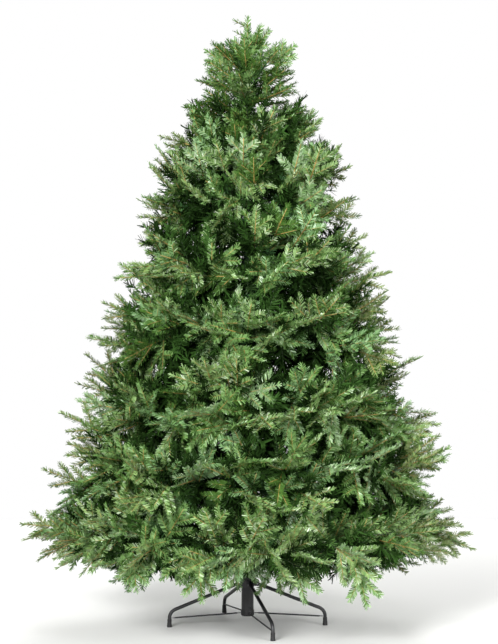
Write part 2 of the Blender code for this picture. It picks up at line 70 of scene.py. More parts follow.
def linear(hex_color):
    """An sRGB hex value as linear red, green, blue and alpha."""
    channels = [int(hex_color[i : i + 2], 16) / 255 for i in (1, 3, 5)]
    return [*(c / 12.92 if c <= 0.04045 else ((c + 0.055) / 1.055) ** 2.4 for c in channels), 1]


def add_node(tree, kind, values=None, links=None, **settings):
    """Adds a node with its settings, the values of its sockets and the outputs that feed them."""
    node = tree.nodes.new(kind)
    for name, value in settings.items():
        setattr(node, name, value)
    for name, value in (values or {}).items():
        node.inputs[name].default_value = value
    for name, output in (links or {}).items():
        tree.links.new(output, node.inputs[name])
    return node


def new_material(name, **shader_values):
    """A material and its shader, with the shader's own sockets set."""
    material = bpy.data.materials.new(name)
    material.use_nodes = True
    shader = material.node_tree.nodes["Principled BSDF"]
    for socket, value in shader_values.items():
        shader.inputs[socket.replace("_", " ")].default_value = value
    return material, material.node_tree, shader


def mottled(name, grain_mm, detail, colors, stops=(0, 1), drawn_out=1, relief=None, **shader_values):
    """A material whose colour wanders between two, as a noise of its grain's size does.

    drawn_out squeezes the noise's height, so that it runs upwards. relief is the grain in mm and the detail
    of a second noise, which raises the surface with a strength and by a distance.
    """
    material, tree, shader = new_material(name, **shader_values)
    place = add_node(tree, "ShaderNodeTexCoord").outputs["Object"]
    runs = add_node(tree, "ShaderNodeMapping", {"Scale": (1, 1, drawn_out)}, {"Vector": place})
    grain = add_node(
        tree,
        "ShaderNodeTexNoise",
        {"Scale": 1000 / grain_mm, "Detail": detail},
        {"Vector": runs.outputs["Vector"]},
    )
    tint = add_node(tree, "ShaderNodeValToRGB", links={"Fac": grain.outputs["Fac"]})
    for element, stop, color in zip(tint.color_ramp.elements, stops, colors):
        element.position, element.color = stop, linear(color)
    tree.links.new(tint.outputs["Color"], shader.inputs["Base Color"])
    if relief:
        peel_mm, peel_detail, strength, distance = relief
        peel = add_node(
            tree, "ShaderNodeTexNoise", {"Scale": 1000 / peel_mm, "Detail": peel_detail}, {"Vector": place}
        )
        raised = add_node(
            tree,
            "ShaderNodeBump",
            {"Strength": strength, "Distance": distance},
            {"Height": peel.outputs["Fac"]},
        )
        tree.links.new(raised.outputs["Normal"], shader.inputs["Normal"])
    return material


def add_piece(name, shape, *materials):
    """A new object from a bmesh, which this call ends."""
    mesh = bpy.data.meshes.new(name)
    shape.to_mesh(mesh)
    shape.free()
    piece = bpy.data.objects.new(name, mesh)
    bpy.context.scene.collection.objects.link(piece)
    for material in materials:
        mesh.materials.append(material)
    return piece


# White card stock, pressed: dull, with a faint mottle of its fibres.
paper = mottled("white_card_stock", PAPER_FIBRE_MM, 2, ("#E6E6E4", "#ECECEA"), Roughness=0.9)

shape = bmesh.new()
bmesh.ops.create_circle(shape, cap_ends=True, segments=96, radius=FLOOR_RADIUS)
floor = add_piece("floor", shape, paper)


# The studio is white all round, with a large soft box far out in front on the left and smaller ones on the
# right, overhead and behind. The white that is seen is brighter than the light that it gives, so the crown
# stays dark inside.
SEEN_WHITE = 1.0
GIVEN_WHITE = 0.14
SOFT_BOXES = {
    "key_light": {"place": (-2.9, -7.7, 3.7), "side": 2.6, "watts": 1400},
    "fill_light": {"place": (3.4, -4.2, 2.0), "side": 1.8, "watts": 225},
    "top_light": {"place": (0.0, 0.0, 5.4), "side": 2.4, "watts": 25},
    "back_light": {"place": (0.8, 4.8, 3.0), "side": 2.0, "watts": 260},
}
LIGHTS_AIM = Vector((0, 0, 1.0))

world = bpy.data.worlds.new("white_studio")
bpy.context.scene.world = world
world.use_nodes = True
tree = world.node_tree
path = add_node(tree, "ShaderNodeLightPath")
brightness = add_node(
    tree,
    "ShaderNodeMapRange",
    {"To Min": GIVEN_WHITE, "To Max": SEEN_WHITE},
    {"Value": path.outputs["Is Camera Ray"]},
)
tree.nodes["Background"].inputs["Color"].default_value = (1, 1, 1, 1)
tree.links.new(brightness.outputs["Result"], tree.nodes["Background"].inputs["Strength"])
for name, box in SOFT_BOXES.items():
    light = bpy.data.lights.new(name, "AREA")
    light.size = box["side"]
    light.energy = box["watts"]
    lamp = bpy.data.objects.new(name, light)
    lamp.location = box["place"]
    lamp.rotation_euler = (LIGHTS_AIM - lamp.location).to_track_quat("-Z", "Y").to_euler()
    bpy.context.scene.collection.objects.link(lamp)
bpy.context.scene.view_settings.view_transform = "Standard"


# The stand's socket is a steel tube that takes the pole, with a rolled lip, and a pressed cup closes its
# foot. Both are powder-coated black, and the cup is pushed on over the tube's end.
SOCKET_RADIUS = 0.021
SOCKET_WALL = 0.0014
SOCKET_TOP = 0.215
CUP_BOTTOM = 0.0365
CUP_TOP = 0.0565
CUP_FLOOR = 0.003
CUP_OUTER = 0.0229
CUP_ROUND = 0.005
CUP_BEAD = 0.0007
# The groove under the cup's bead: how deep it is, at how far under the top.
CUP_GROOVE = ((0, 0.0032), (0.0006, 0.0038), (0.0006, 0.0048), (0, 0.0054))
FIT_GAP = 0.0003
ROUND_STEPS = 48
COAT_GRAIN_MM = 1.6
COAT_RUB_MM = 35


def turned(profile, steps=ROUND_STEPS, closed=False):
    """A round shape: the profile's (radius, height) points turned about +Z."""
    shape = bmesh.new()
    points = [shape.verts.new((radius, 0, height)) for radius, height in profile]
    pairs = zip(points, points[1:] + points[:1] if closed else points[1:])
    edges = [shape.edges.new(pair) for pair in pairs]
    bmesh.ops.spin(
        shape, geom=points + edges, cent=(0, 0, 0), axis=UP, angle=TAU, steps=steps, use_merge=True
    )
    bmesh.ops.remove_doubles(shape, verts=shape.verts, dist=1e-6)
    bmesh.ops.recalc_face_normals(shape, faces=shape.faces)
    return shape


def arc(centre, radius, start, end, steps):
    """Points of a profile round a corner, from one angle to another in degrees."""
    angles = [math.radians(start + (end - start) * i / steps) for i in range(steps + 1)]
    return [(centre[0] + radius * math.cos(a), centre[1] + radius * math.sin(a)) for a in angles]


def fitted(piece, slot, *nodes):
    """Puts a finished piece on the tree's one body, in place of its solids where it has any."""
    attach(piece, "root")
    if nodes:
        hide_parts(*nodes)


def add_part(name, shape, material, slot, *nodes, sharp_degrees=40):
    """Adds a hard part, smooth but for its sharp edges, and fits it."""
    piece = add_piece(name, shape, material)
    piece.data.shade_smooth()
    piece.data.set_sharp_from_angle(angle=math.radians(sharp_degrees))
    fitted(piece, slot, *nodes)


# Black powder coat, baked on steel: a charcoal satin skin with a fine orange peel, drawn coarser than the
# real 0.5 mm so that it shows, and a little paler where it is rubbed.
powder_coat = mottled(
    "black_powder_coat",
    COAT_RUB_MM,
    4,
    ("#1B1B1D", "#2C2C2F"),
    stops=(0.35, 0.75),
    relief=(COAT_GRAIN_MM, 3, 0.25, 0.0002),
    IOR=1.5,
)
tree = powder_coat.node_tree
place = add_node(tree, "ShaderNodeTexCoord").outputs["Object"]
peel = add_node(
    tree, "ShaderNodeTexNoise", {"Scale": 1000 / COAT_GRAIN_MM, "Detail": 3}, {"Vector": place}
)
gloss = add_node(
    tree,
    "ShaderNodeMapRange",
    {"From Min": 0.3, "From Max": 0.7, "To Min": 0.34, "To Max": 0.5},
    {"Value": peel.outputs["Fac"]},
)
tree.links.new(gloss.outputs["Result"], tree.nodes["Principled BSDF"].inputs["Roughness"])

inner = SOCKET_RADIUS - SOCKET_WALL
foot = CUP_BOTTOM + CUP_FLOOR + FIT_GAP
lip = arc((SOCKET_RADIUS - SOCKET_WALL / 2, SOCKET_TOP - SOCKET_WALL / 2), SOCKET_WALL / 2, 0, 180, 4)
socket = turned([(SOCKET_RADIUS, foot), *lip, (inner, foot)], closed=True)
add_part("stand_socket_tube", socket, powder_coat, "stand_steel", "stand_socket")
cup = turned(
    [
        (0, CUP_BOTTOM + CUP_FLOOR),
        (SOCKET_RADIUS + FIT_GAP, CUP_BOTTOM + CUP_FLOOR),
        *arc((CUP_OUTER - CUP_BEAD, CUP_TOP - CUP_BEAD), CUP_BEAD, 180, 0, 4),
        *((CUP_OUTER - deep, CUP_TOP - down) for deep, down in CUP_GROOVE),
        *arc((CUP_OUTER - CUP_ROUND, CUP_BOTTOM + CUP_ROUND), CUP_ROUND, 0, -90, 6),
        (0, CUP_BOTTOM),
    ]
)
add_part("stand_cup_cap", cup, powder_coat, "stand_steel", "stand_cup")


# The bracket is a pressed steel collar with a pair of ears for each leg. Each leg's end sits between its
# ears on a rivet, on which the real leg folds up.
BRACKET_RADIUS = 0.0231
BRACKET_BOTTOM = 0.137
BRACKET_TOP = 0.163
BRACKET_CORNER = 0.0006
EAR_START = 0.0212
EAR_END = 0.0400
EAR_THICKNESS = 0.0020
EAR_HEIGHT = 0.0208
EAR_CORNER = 0.004
BROKEN_EDGE = 0.0004
EAR_RIVET_RADIUS, EAR_RIVET_HEIGHT = 0.0030, 0.0013
EAR_RIVET_OUT, EAR_RIVET_UNDER_MIDDLE = 0.0335, 0.0028
RIVET_SUNK = 0.3
SPANGLE_MM = 1.5
LEG_RADIUS = 0.006
LEG_HEADINGS = {
    "right": math.radians(3.9),
    "rear": math.radians(108.2),
    "left": math.radians(184.1),
    "front": math.radians(288.1),
}


def collar_profile(inside, outside, bottom, top, corner):
    """The closed profile of a ring with its two outer edges rounded."""
    return [
        (inside, bottom),
        *arc((outside - corner, bottom + corner), corner, -90, 0, 3),
        *arc((outside - corner, top - corner), corner, 0, 90, 3),
        (inside, top),
    ]


def beveled(shape, edges, offset, segments):
    bmesh.ops.bevel(
        shape,
        geom=edges,
        offset=offset,
        offset_type="OFFSET",
        affect="EDGES",
        segments=segments,
        profile=0.5,
        material=-1,
    )


def plate(size, centre, corner, corner_steps=5, edge_steps=2):
    """A flat plate, thin along Y, with its corners rounded off and its edges broken."""
    shape = bmesh.new()
    bmesh.ops.create_cube(shape, size=1)
    bmesh.ops.scale(shape, vec=size, verts=shape.verts)
    corners = [e for e in shape.edges if abs((e.verts[0].co - e.verts[1].co).normalized().y) > 0.9]
    beveled(shape, corners, corner, corner_steps)
    rims = [e for e in shape.edges if e.calc_face_angle(0) > math.radians(50)]
    beveled(shape, rims, BROKEN_EDGE, edge_steps)
    bmesh.ops.translate(shape, vec=centre, verts=shape.verts)
    return shape


def placed(shape, direction, place):
    """The shape with its +Z turned to a direction, and then moved."""
    turn = Vector(direction).to_track_quat("Z", "Y").to_matrix()
    bmesh.ops.rotate(shape, cent=(0, 0, 0), matrix=turn, verts=shape.verts)
    bmesh.ops.translate(shape, vec=place, verts=shape.verts)
    return shape


def rivet(radius, height, place, out):
    """A domed rivet head on a face that points out."""
    dome = [(r * radius, z * height) for r, z in arc((0, 0), 1, 0, 90, 4)]
    head = turned([(0, -RIVET_SUNK * height), (radius, -RIVET_SUNK * height), *dome], 16)
    return placed(head, out, place)


def joined(shapes):
    """Several bmeshes as one, side by side in it."""
    whole = bmesh.new()
    for shape in shapes:
        mesh = bpy.data.meshes.new("part")
        shape.to_mesh(mesh)
        shape.free()
        whole.from_mesh(mesh)
        bpy.data.meshes.remove(mesh)
    return whole


def turned_to(shape, heading):
    """The shape turned round the pole to a heading."""
    turn = Matrix.Rotation(heading, 3, "Z")
    bmesh.ops.rotate(shape, cent=(0, 0, 0), matrix=turn, verts=shape.verts)
    return shape


# Zinc-plated steel, cold headed: the rivets are the only bright metal on the stand, a little dulled.
rivet_zinc, tree, shader = new_material("zinc_plated_rivet", Metallic=1.0, Roughness=0.38)
place = add_node(tree, "ShaderNodeTexCoord").outputs["Object"]
spangle = add_node(tree, "ShaderNodeTexVoronoi", {"Scale": 1000 / SPANGLE_MM}, {"Vector": place})
tint = add_node(tree, "ShaderNodeValToRGB", links={"Fac": spangle.outputs["Distance"]})
tint.color_ramp.elements[0].color = linear("#9C9DA0")
tint.color_ramp.elements[1].color = linear("#C2C3C5")
tree.links.new(tint.outputs["Color"], shader.inputs["Base Color"])

profile = collar_profile(
    SOCKET_RADIUS + FIT_GAP, BRACKET_RADIUS, BRACKET_BOTTOM, BRACKET_TOP, BRACKET_CORNER
)
plates = [turned(profile, closed=True)]
ear_rivets = []
middle = (BRACKET_BOTTOM + BRACKET_TOP) / 2
for heading in LEG_HEADINGS.values():
    for side in (-1, 1):
        centre = ((EAR_START + EAR_END) / 2, side * (LEG_RADIUS + FIT_GAP + EAR_THICKNESS / 2), middle)
        size = (EAR_END - EAR_START, EAR_THICKNESS, EAR_HEIGHT)
        plates.append(turned_to(plate(size, centre, EAR_CORNER), heading))
        face = side * (LEG_RADIUS + FIT_GAP + EAR_THICKNESS)
        head_place = (EAR_RIVET_OUT, face, middle - EAR_RIVET_UNDER_MIDDLE)
        head = rivet(EAR_RIVET_RADIUS, EAR_RIVET_HEIGHT, head_place, (0, side, 0))
        ear_rivets.append(turned_to(head, heading))
add_part("stand_collar", joined(plates), powder_coat, "stand_steel", "stand_bracket")
add_part("stand_ear_rivets", joined(ear_rivets), rivet_zinc, "stand_steel", sharp_degrees=60)


# Each leg is one steel tube, bent down at its outer end. It comes straight out of the bracket, slopes to the
# bend and goes into a rubber foot. The tube is mandrel bent, so it stays round.
LEG_START_RADIUS = 0.0257
LEG_START_HEIGHT = 0.150
LEG_SLOPE = math.radians(21.7)
LEG_BEND = 0.033
LEG_CIRCLE = 0.269
LEG_SIDES = 20
LEG_BEND_STEPS = 12
FOOT_SOLE = 0.003


def extruded(shape, loop, vec):
    """Draws the open loop of edges out by a vector and gives the new loop."""
    made = bmesh.ops.extrude_edge_only(shape, edges=loop)["geom"]
    bmesh.ops.translate(shape, vec=vec, verts=[g for g in made if isinstance(g, bmesh.types.BMVert)])
    return [g for g in made if isinstance(g, bmesh.types.BMEdge) and g.is_boundary]


def leg_shape():
    """A leg that heads along +X."""
    slope = Vector((math.cos(LEG_SLOPE), 0, -math.sin(LEG_SLOPE)))
    bend_centre_radius = LEG_CIRCLE - LEG_BEND
    bend_start_radius = bend_centre_radius + LEG_BEND * math.sin(LEG_SLOPE)
    run = (bend_start_radius - LEG_START_RADIUS) / math.cos(LEG_SLOPE)
    bend_start_height = LEG_START_HEIGHT - run * math.sin(LEG_SLOPE)
    bend_centre_height = bend_start_height - LEG_BEND * math.cos(LEG_SLOPE)
    shape = bmesh.new()
    bmesh.ops.create_circle(shape, cap_ends=False, segments=LEG_SIDES, radius=LEG_RADIUS)
    placed(shape, slope, (LEG_START_RADIUS, 0, LEG_START_HEIGHT))
    bend = bmesh.ops.spin(
        shape,
        geom=extruded(shape, list(shape.edges), slope * run),
        cent=(bend_centre_radius, 0, bend_centre_height),
        axis=(0, 1, 0),
        angle=math.pi / 2 - LEG_SLOPE,
        steps=LEG_BEND_STEPS,
        use_merge=False,
    )
    loop = [g for g in bend["geom_last"] if isinstance(g, bmesh.types.BMEdge)]
    extruded(shape, loop, (0, 0, FOOT_SOLE + FIT_GAP - bend_centre_height))
    bmesh.ops.remove_doubles(shape, verts=shape.verts, dist=1e-6)
    bmesh.ops.holes_fill(shape, edges=[e for e in shape.edges if e.is_boundary], sides=LEG_SIDES)
    bmesh.ops.recalc_face_normals(shape, faces=shape.faces)
    return shape


for name, heading in LEG_HEADINGS.items():
    shape = turned_to(leg_shape(), heading)
    add_part(f"stand_leg_tube_{name}", shape, powder_coat, "stand_steel", f"stand_leg_{name}")


# The feet are moulded rubber ferrules, pushed over the legs' ends: ribbed round the neck and wider at the
# floor, where the edge is rounded.
FOOT_HEIGHT = 0.027
FOOT_NECK = 0.0073
FOOT_RADIUS = 0.0085
FOOT_CORNER, NECK_CORNER = 0.0008, 0.0006
FOOT_SIDE_TOP, NECK_FOOT = 0.004, 0.0145
FOOT_RIB = 0.0005
FOOT_RIB_HEIGHTS = (0.019, 0.022, 0.025)
DUST_MM = 6

# Black rubber, compression moulded: dull and a little dusty, with no gloss to catch the light.
rubber = mottled(
    "black_moulded_rubber",
    DUST_MM,
    5,
    ("#121213", "#242426"),
    relief=(DUST_MM, 5, 0.3, 0.0002),
    Roughness=0.72,
)

foot_profile = [
    (0, 0),
    *arc((FOOT_RADIUS - FOOT_CORNER, FOOT_CORNER), FOOT_CORNER, -90, 0, 3),
    (FOOT_RADIUS, FOOT_SIDE_TOP),
    (FOOT_NECK + 0.0004, NECK_FOOT),
    *(
        point
        for height in FOOT_RIB_HEIGHTS
        for point in arc((FOOT_NECK - 0.0001, height), FOOT_RIB, -80, 80, 4)
    ),
    *arc((FOOT_NECK - NECK_CORNER, FOOT_HEIGHT - NECK_CORNER), NECK_CORNER, 0, 90, 3),
    (LEG_RADIUS + FIT_GAP, FOOT_HEIGHT),
    (LEG_RADIUS + FIT_GAP, FOOT_SOLE),
    (0, FOOT_SOLE),
]
for name, heading in LEG_HEADINGS.items():
    shape = turned(foot_profile, 32)
    bmesh.ops.translate(shape, vec=(LEG_CIRCLE, 0, 0), verts=shape.verts)
    turned_to(shape, heading)
    add_part(f"stand_ferrule_{name}", shape, rubber, "foot_rubber", f"stand_foot_{name}")


# A thin steel stay runs from the cup out to each leg, just above its foot. Its ends are hammered flat and
# riveted, and the rivet heads are left bright.
BRACE_RADIUS = 0.0026
BRACE_HIGH = Vector((0.0235, 0, 0.0465))
BRACE_LOW = Vector((LEG_CIRCLE - LEG_RADIUS - 2 * FIT_GAP, 0, 0.0315))
BRACE_SIDES = 12
FLAT_LENGTH = 0.016
FLAT_STATIONS = (0.003, 0.6 * FLAT_LENGTH, FLAT_LENGTH)
FLAT_THINNER, FLAT_WIDER = 0.55, 0.35
BRACE_RIVET_RADIUS, BRACE_RIVET_HEIGHT = 0.0019, 0.0012
BRACE_RIVET_PLACES = (BRACE_LOW + Vector((-0.0045, 0, 0.0013)), BRACE_HIGH + Vector((0.0050, 0, 0.0008)))


def brace_shape():
    """A stay that heads along +X, drawn from one end to the other and flattened at both."""
    along = BRACE_LOW - BRACE_HIGH
    length = along.length
    shape = bmesh.new()
    bmesh.ops.create_circle(shape, cap_ends=True, segments=BRACE_SIDES, radius=BRACE_RADIUS)
    loop = list(shape.edges)
    reached = 0
    for station in (*FLAT_STATIONS, *(length - station for station in reversed(FLAT_STATIONS)), length):
        loop = extruded(shape, loop, (0, 0, station - reached))
        reached = station
    bmesh.ops.holes_fill(shape, edges=[e for e in shape.edges if e.is_boundary], sides=BRACE_SIDES)
    for vert in shape.verts:
        from_end = min(vert.co.z, length - vert.co.z)
        flat = max(0, min(1, (FLAT_LENGTH - from_end) / (FLAT_LENGTH * 0.4)))
        vert.co.x *= 1 - FLAT_THINNER * flat
        vert.co.y *= 1 + FLAT_WIDER * flat
    ahead, level = along.normalized(), Vector((0, 1, 0))
    turn = Matrix((ahead.cross(level), level, ahead)).transposed()
    bmesh.ops.rotate(shape, cent=(0, 0, 0), matrix=turn, verts=shape.verts)
    bmesh.ops.translate(shape, vec=BRACE_HIGH, verts=shape.verts)
    bmesh.ops.recalc_face_normals(shape, faces=shape.faces)
    return shape


brace_rivets = []
for name, heading in LEG_HEADINGS.items():
    shape = turned_to(brace_shape(), heading)
    add_part(f"stand_stay_{name}", shape, powder_coat, "stand_steel", f"stand_brace_{name}")
    for place in BRACE_RIVET_PLACES:
        head = rivet(BRACE_RIVET_RADIUS, BRACE_RIVET_HEIGHT, place, (0.06, 0, 1))
        brace_rivets.append(turned_to(head, heading))
add_part("stand_stay_rivets", joined(brace_rivets), rivet_zinc, "stand_steel", sharp_degrees=60)


# One pan-head screw locks the pole in the socket, low on the front. It is black like the tube, with a
# small round recess, so it shows as a small dark spot.
SCREW_HEIGHT = 0.066
SCREW_HEAD = 0.004
SCREW_DEPTH = 0.003
SOCKET_FLAT = TAU / 20

shape = turned(
    [
        (0, SCREW_DEPTH * 0.45),
        (0.0010, SCREW_DEPTH * 0.5),
        (0.0012, SCREW_DEPTH),
        (SCREW_HEAD * 0.55, SCREW_DEPTH),
        (SCREW_HEAD * 0.88, SCREW_DEPTH * 0.75),
        (SCREW_HEAD, SCREW_DEPTH * 0.35),
        (SCREW_HEAD, 0),
        (0, 0),
    ],
    20,
)
heading = (round(LEG_HEADINGS["front"] / SOCKET_FLAT - 0.5) + 0.5) * SOCKET_FLAT
out = Vector((math.cos(heading), math.sin(heading), 0))
placed(shape, out, out * (SOCKET_RADIUS - 0.0001) + UP * SCREW_HEIGHT)
add_part("stand_lock_screw", shape, powder_coat, "stand_steel", "stand_screw")


# The pole comes in three steel tubes, each slimmer than the one below, whose swaged foot plugs into it. The
# tube ends are rolled in a little, and the whole pole is painted dark green so that it is lost in the
# needles.
POLE_FOOT = 0.0398
POLE_SECTIONS = ((0.0190, 0.720), (0.0165, 1.260), (0.0140, 1.700))
SWAGE_IN, SWAGE_RISE = 0.0008, 0.0010
# The groove under each tube's end: how deep it is, at how far under the end.
POLE_GROOVE = ((0, 0.030), (0.0004, 0.029), (0.0004, 0.026), (0, 0.025))
POLE_CORNER = 0.0012
PAINT_RUN_MM = 14
PAINT_GRAIN_MM = 3.0

# Dark green enamel, sprayed on steel tube: satin, with faint runs of darker paint and its own orange peel.
green_enamel = mottled(
    "dark_green_enamel",
    PAINT_RUN_MM,
    3,
    ("#1C2B1F", "#2B4030"),
    stops=(0.3, 0.7),
    drawn_out=0.12,
    relief=(PAINT_GRAIN_MM, 2, 0.3, 0.0003),
    IOR=1.5,
    Roughness=0.42,
)

pole_profile = [(0, POLE_FOOT)]
bottom = POLE_FOOT
for radius, top in POLE_SECTIONS:
    pole_profile += [
        (radius - SWAGE_IN, bottom),
        (radius, bottom + SWAGE_RISE),
        *((radius - deep, top - down) for deep, down in POLE_GROOVE),
        *arc((radius - POLE_CORNER, top - POLE_CORNER), POLE_CORNER, 0, 90, 3),
    ]
    bottom = top
pole_profile.append((0, bottom))
add_part("pole_tubes", turned(pole_profile), green_enamel, "pole_steel", "pole")


# The crown's rule: the tiers' hinges and tips, how far they reach, and where each bough ends. The hinges,
# tips, reaches and sectors are the solids'. The kept reach, the swell of the sides, the lesser ends, the
# shortest end and the skirt's rise are not, so at some heights the needles stand out past the solids.
TREE_HEIGHT = 2.10
TIERS = 7
LOWEST_HINGE, HINGE_STEP = 0.300, 0.205
LOWEST_TIP, TIP_STEP = 0.310, 0.248
LOWEST_REACH, HIGHEST_REACH, REACH_BULGE, RIGHT_LEAN = 0.787, 0.260, 0.020, 0.008
TIER_SWAY, SWAY_WAVES, SWAY_TURN = 0.036, 3, 2.4
SECTOR_TWIST = 0.45
TIER_MARGIN = 0.006
MASSES_PER_TIER = (8, 7, 7, 6, 5, 5, 4)
ENDS_PER_MASS = 5
SHORTEST_END, END_LIFT, END_PITCH, END_SPREAD = 0.88, 0.26, math.radians(14), 0.88
KEPT_REACH = (0.97, 0.97, 0.975, 0.98, 0.99, 1.0, 0.91)
BETWEEN_REACH, BETWEEN_LIFT = (0.88, 0.99), 0.40
BETWEEN_ENDS, BETWEEN_SHIFT, BETWEEN_PITCH = (1, 2, 3), 0.08, 0.1
SIDE_SWELL = (
    # height, and how much further the hands reach than an even cone on the left and on the right
    (0.25, -0.056, 0.038),
    (0.35, 0.031, -0.104),
    (0.45, 0.026, -0.054),
    (0.55, 0.062, 0.072),
    (0.65, -0.054, 0.045),
    (0.75, -0.059, -0.010),
    (0.85, -0.009, -0.011),
    (0.95, 0.051, 0.079),
    (1.05, 0.029, 0.024),
    (1.15, -0.053, 0.013),
    (1.25, 0.003, -0.035),
    (1.35, 0.025, -0.038),
    (1.45, 0.004, 0.052),
    (1.55, 0.004, 0.093),
    (1.65, 0.018, 0.011),
    (1.75, 0.015, 0.001),
    (1.85, 0.019, 0.025),
    (1.95, -0.040, -0.019),
)
SKIRT_RADIUS, SKIRT_HEIGHT, SKIRT_PITCH = 0.340, 0.300, math.radians(-36)
SKIRT_BOTTOM, SKIRT_RISE, SKIRT_REACH = 0.158, 0.26, 0.55
OVER_LEGS = 3
LOWEST_SPRAY_LENGTH, HIGHEST_SPRAY_LENGTH = 0.262, 0.196
TOP_FOOT, TOP_SLOPE = 1.630, math.radians(46)

Mass = namedtuple("Mass", "name tier heading half_angle")
BoughEnd = namedtuple("BoughEnd", "point axis")


def heading_vector(heading):
    return Vector((math.cos(heading), math.sin(heading), 0))


def pitched(heading, pitch):
    """The direction at a heading and a pitch."""
    return heading_vector(heading) * math.cos(pitch) + UP * math.sin(pitch)


def polar(radius, heading, height):
    return heading_vector(heading) * radius + UP * height


def pole_radius(height):
    return next((radius for radius, top in POLE_SECTIONS if height <= top), POLE_SECTIONS[-1][0])


def hinge_height(tier):
    return LOWEST_HINGE + HINGE_STEP * tier


def tip_height(tier):
    return LOWEST_TIP + TIP_STEP * tier


def mean_reach(tier):
    share = tier / (TIERS - 1)
    straight = LOWEST_REACH + (HIGHEST_REACH - LOWEST_REACH) * share
    return straight + REACH_BULGE * math.sin(math.pi * share)


def bough_slope(tier):
    return math.atan2(tip_height(tier) - hinge_height(tier), mean_reach(tier))


def spray_length(tier):
    return LOWEST_SPRAY_LENGTH + (HIGHEST_SPRAY_LENGTH - LOWEST_SPRAY_LENGTH) * tier / TIERS


def centre_height(tier, radius):
    rise = tip_height(tier) - hinge_height(tier)
    return hinge_height(tier) + rise * radius / mean_reach(tier)


def underside(radius):
    """The lowest that foliage hangs: clear of the floor and of the stand's sloping legs."""
    leg_height = LEG_START_HEIGHT - (radius - LEG_START_RADIUS) * math.tan(LEG_SLOPE)
    clear = OVER_LEGS * LEG_RADIUS
    over_legs = leg_height + clear if radius < LEG_CIRCLE + clear else 0
    return max(SKIRT_BOTTOM + SKIRT_RISE * max(0, radius - SKIRT_RADIUS), over_legs)


def floor_of(tier, radius, heading):
    """Halfway from the tier below, up and down a little on the way round."""
    if tier == 0:
        return underside(radius)
    if tier == TIERS:
        return TOP_FOOT + radius * math.tan(TOP_SLOPE)
    sway = TIER_SWAY * math.sin(SWAY_WAVES * heading + SWAY_TURN * tier) * radius / mean_reach(tier)
    return (centre_height(tier - 1, radius) + centre_height(tier, radius)) / 2 + sway + TIER_MARGIN


def ceiling_of(tier, radius, heading):
    return floor_of(tier + 1, radius, heading) - 2 * TIER_MARGIN


def sector_heading(mass, radius, share=0):
    """The heading of the middle of a mass's sector, or of a share of its half width beside it."""
    return mass.heading + SECTOR_TWIST * radius + share * mass.half_angle


def masses_of(tier):
    count = MASSES_PER_TIER[tier]
    half_angle = math.pi / count
    for i in range(count):
        curl = SECTOR_TWIST * (mean_reach(tier) - spray_length(tier))
        heading = 2 * half_angle * i + half_angle * (tier % 2) - curl
        yield Mass(f"foliage_{tier + 1}_{i + 1}", tier, heading, half_angle)


def hands_reach(tier, lift):
    """How far the hands reach at a share of the tier's height over its middle, on one cone."""
    return mean_reach(tier) * KEPT_REACH[tier] - lift * (LOWEST_REACH - HIGHEST_REACH) / (TIERS - 1)


def side_reach(height):
    """The radius of the crown's side at a height."""
    heights = [SKIRT_BOTTOM, *(tip_height(tier) for tier in range(TIERS)), TREE_HEIGHT]
    reaches = [SKIRT_REACH, *(hands_reach(tier, 0) for tier in range(TIERS)), 0]
    return float(np.interp(height, heights, reaches))


def swell(height, heading):
    """How much further out than the even cone a tip stands at a height and heading."""
    heights, left, right = zip(*SIDE_SWELL)
    side = math.cos(heading)
    return side**2 * float(np.interp(height, heights, left if side < 0 else right))


def end_at(mass, tip_radius, heading, lift, axis):
    """The bough end whose hand reaches a radius, at a share of the tier's height over its middle."""
    low = floor_of(mass.tier, tip_radius, heading)
    high = ceiling_of(mass.tier, tip_radius, heading)
    height = (low + high) / 2 + lift * (high - low)
    tip = polar(tip_radius + swell(height, heading), heading, height)
    return BoughEnd(tip - axis * spray_length(mass.tier), axis)


def bough_ends(mass, chance):
    """The ends of a mass's boughs, spread over its sector, high and low by turns."""
    for i in range(ENDS_PER_MASS):
        share = (i + 0.5) / ENDS_PER_MASS * 2 - 1
        shorter = 1 if i == ENDS_PER_MASS // 2 else chance.uniform(SHORTEST_END, 1)
        end_radius = mean_reach(mass.tier) * shorter - spray_length(mass.tier)
        heading = sector_heading(mass, end_radius, share * END_SPREAD)
        sign = -1 if (i + mass.tier) % 2 == 0 else 1
        pitch = bough_slope(mass.tier) + sign * END_PITCH
        axis = pitched(heading, pitch)
        lean = 1 + RIGHT_LEAN * math.cos(heading)
        tip_radius = hands_reach(mass.tier, sign * END_LIFT) * lean * shorter
        yield end_at(mass, tip_radius, heading, sign * END_LIFT, axis)


def between_ends(mass, chance):
    """Lesser ends between those, further in: each is high where its neighbours are low."""
    for i in BETWEEN_ENDS:
        share = (i + 0.5) / ENDS_PER_MASS * 2 - 1 + chance.uniform(-BETWEEN_SHIFT, BETWEEN_SHIFT)
        sign = 1 if (i + mass.tier) % 2 == 0 else -1
        tip_radius = hands_reach(mass.tier, sign * BETWEEN_LIFT) * chance.uniform(*BETWEEN_REACH)
        end_radius = tip_radius - spray_length(mass.tier)
        heading = sector_heading(mass, end_radius, share * END_SPREAD)
        pitch = bough_slope(mass.tier) + sign * END_PITCH
        pitch += chance.uniform(-BETWEEN_PITCH, BETWEEN_PITCH)
        axis = pitched(heading, pitch)
        yield end_at(mass, tip_radius, heading, sign * BETWEEN_LIFT, axis)


def skirt_end(mass):
    """The bough end that hangs under a mass of the lowest tier."""
    heading = sector_heading(mass, SKIRT_RADIUS)
    return BoughEnd(polar(SKIRT_RADIUS, heading, SKIRT_HEIGHT), pitched(heading, SKIRT_PITCH))


def tier_name(tier):
    return "top" if tier == TIERS else str(tier + 1)


def nodes_of(tier):
    """The solids that a tier's foliage stands in for."""
    return ["foliage_top"] if tier == TIERS else [mass.name for mass in masses_of(tier)]


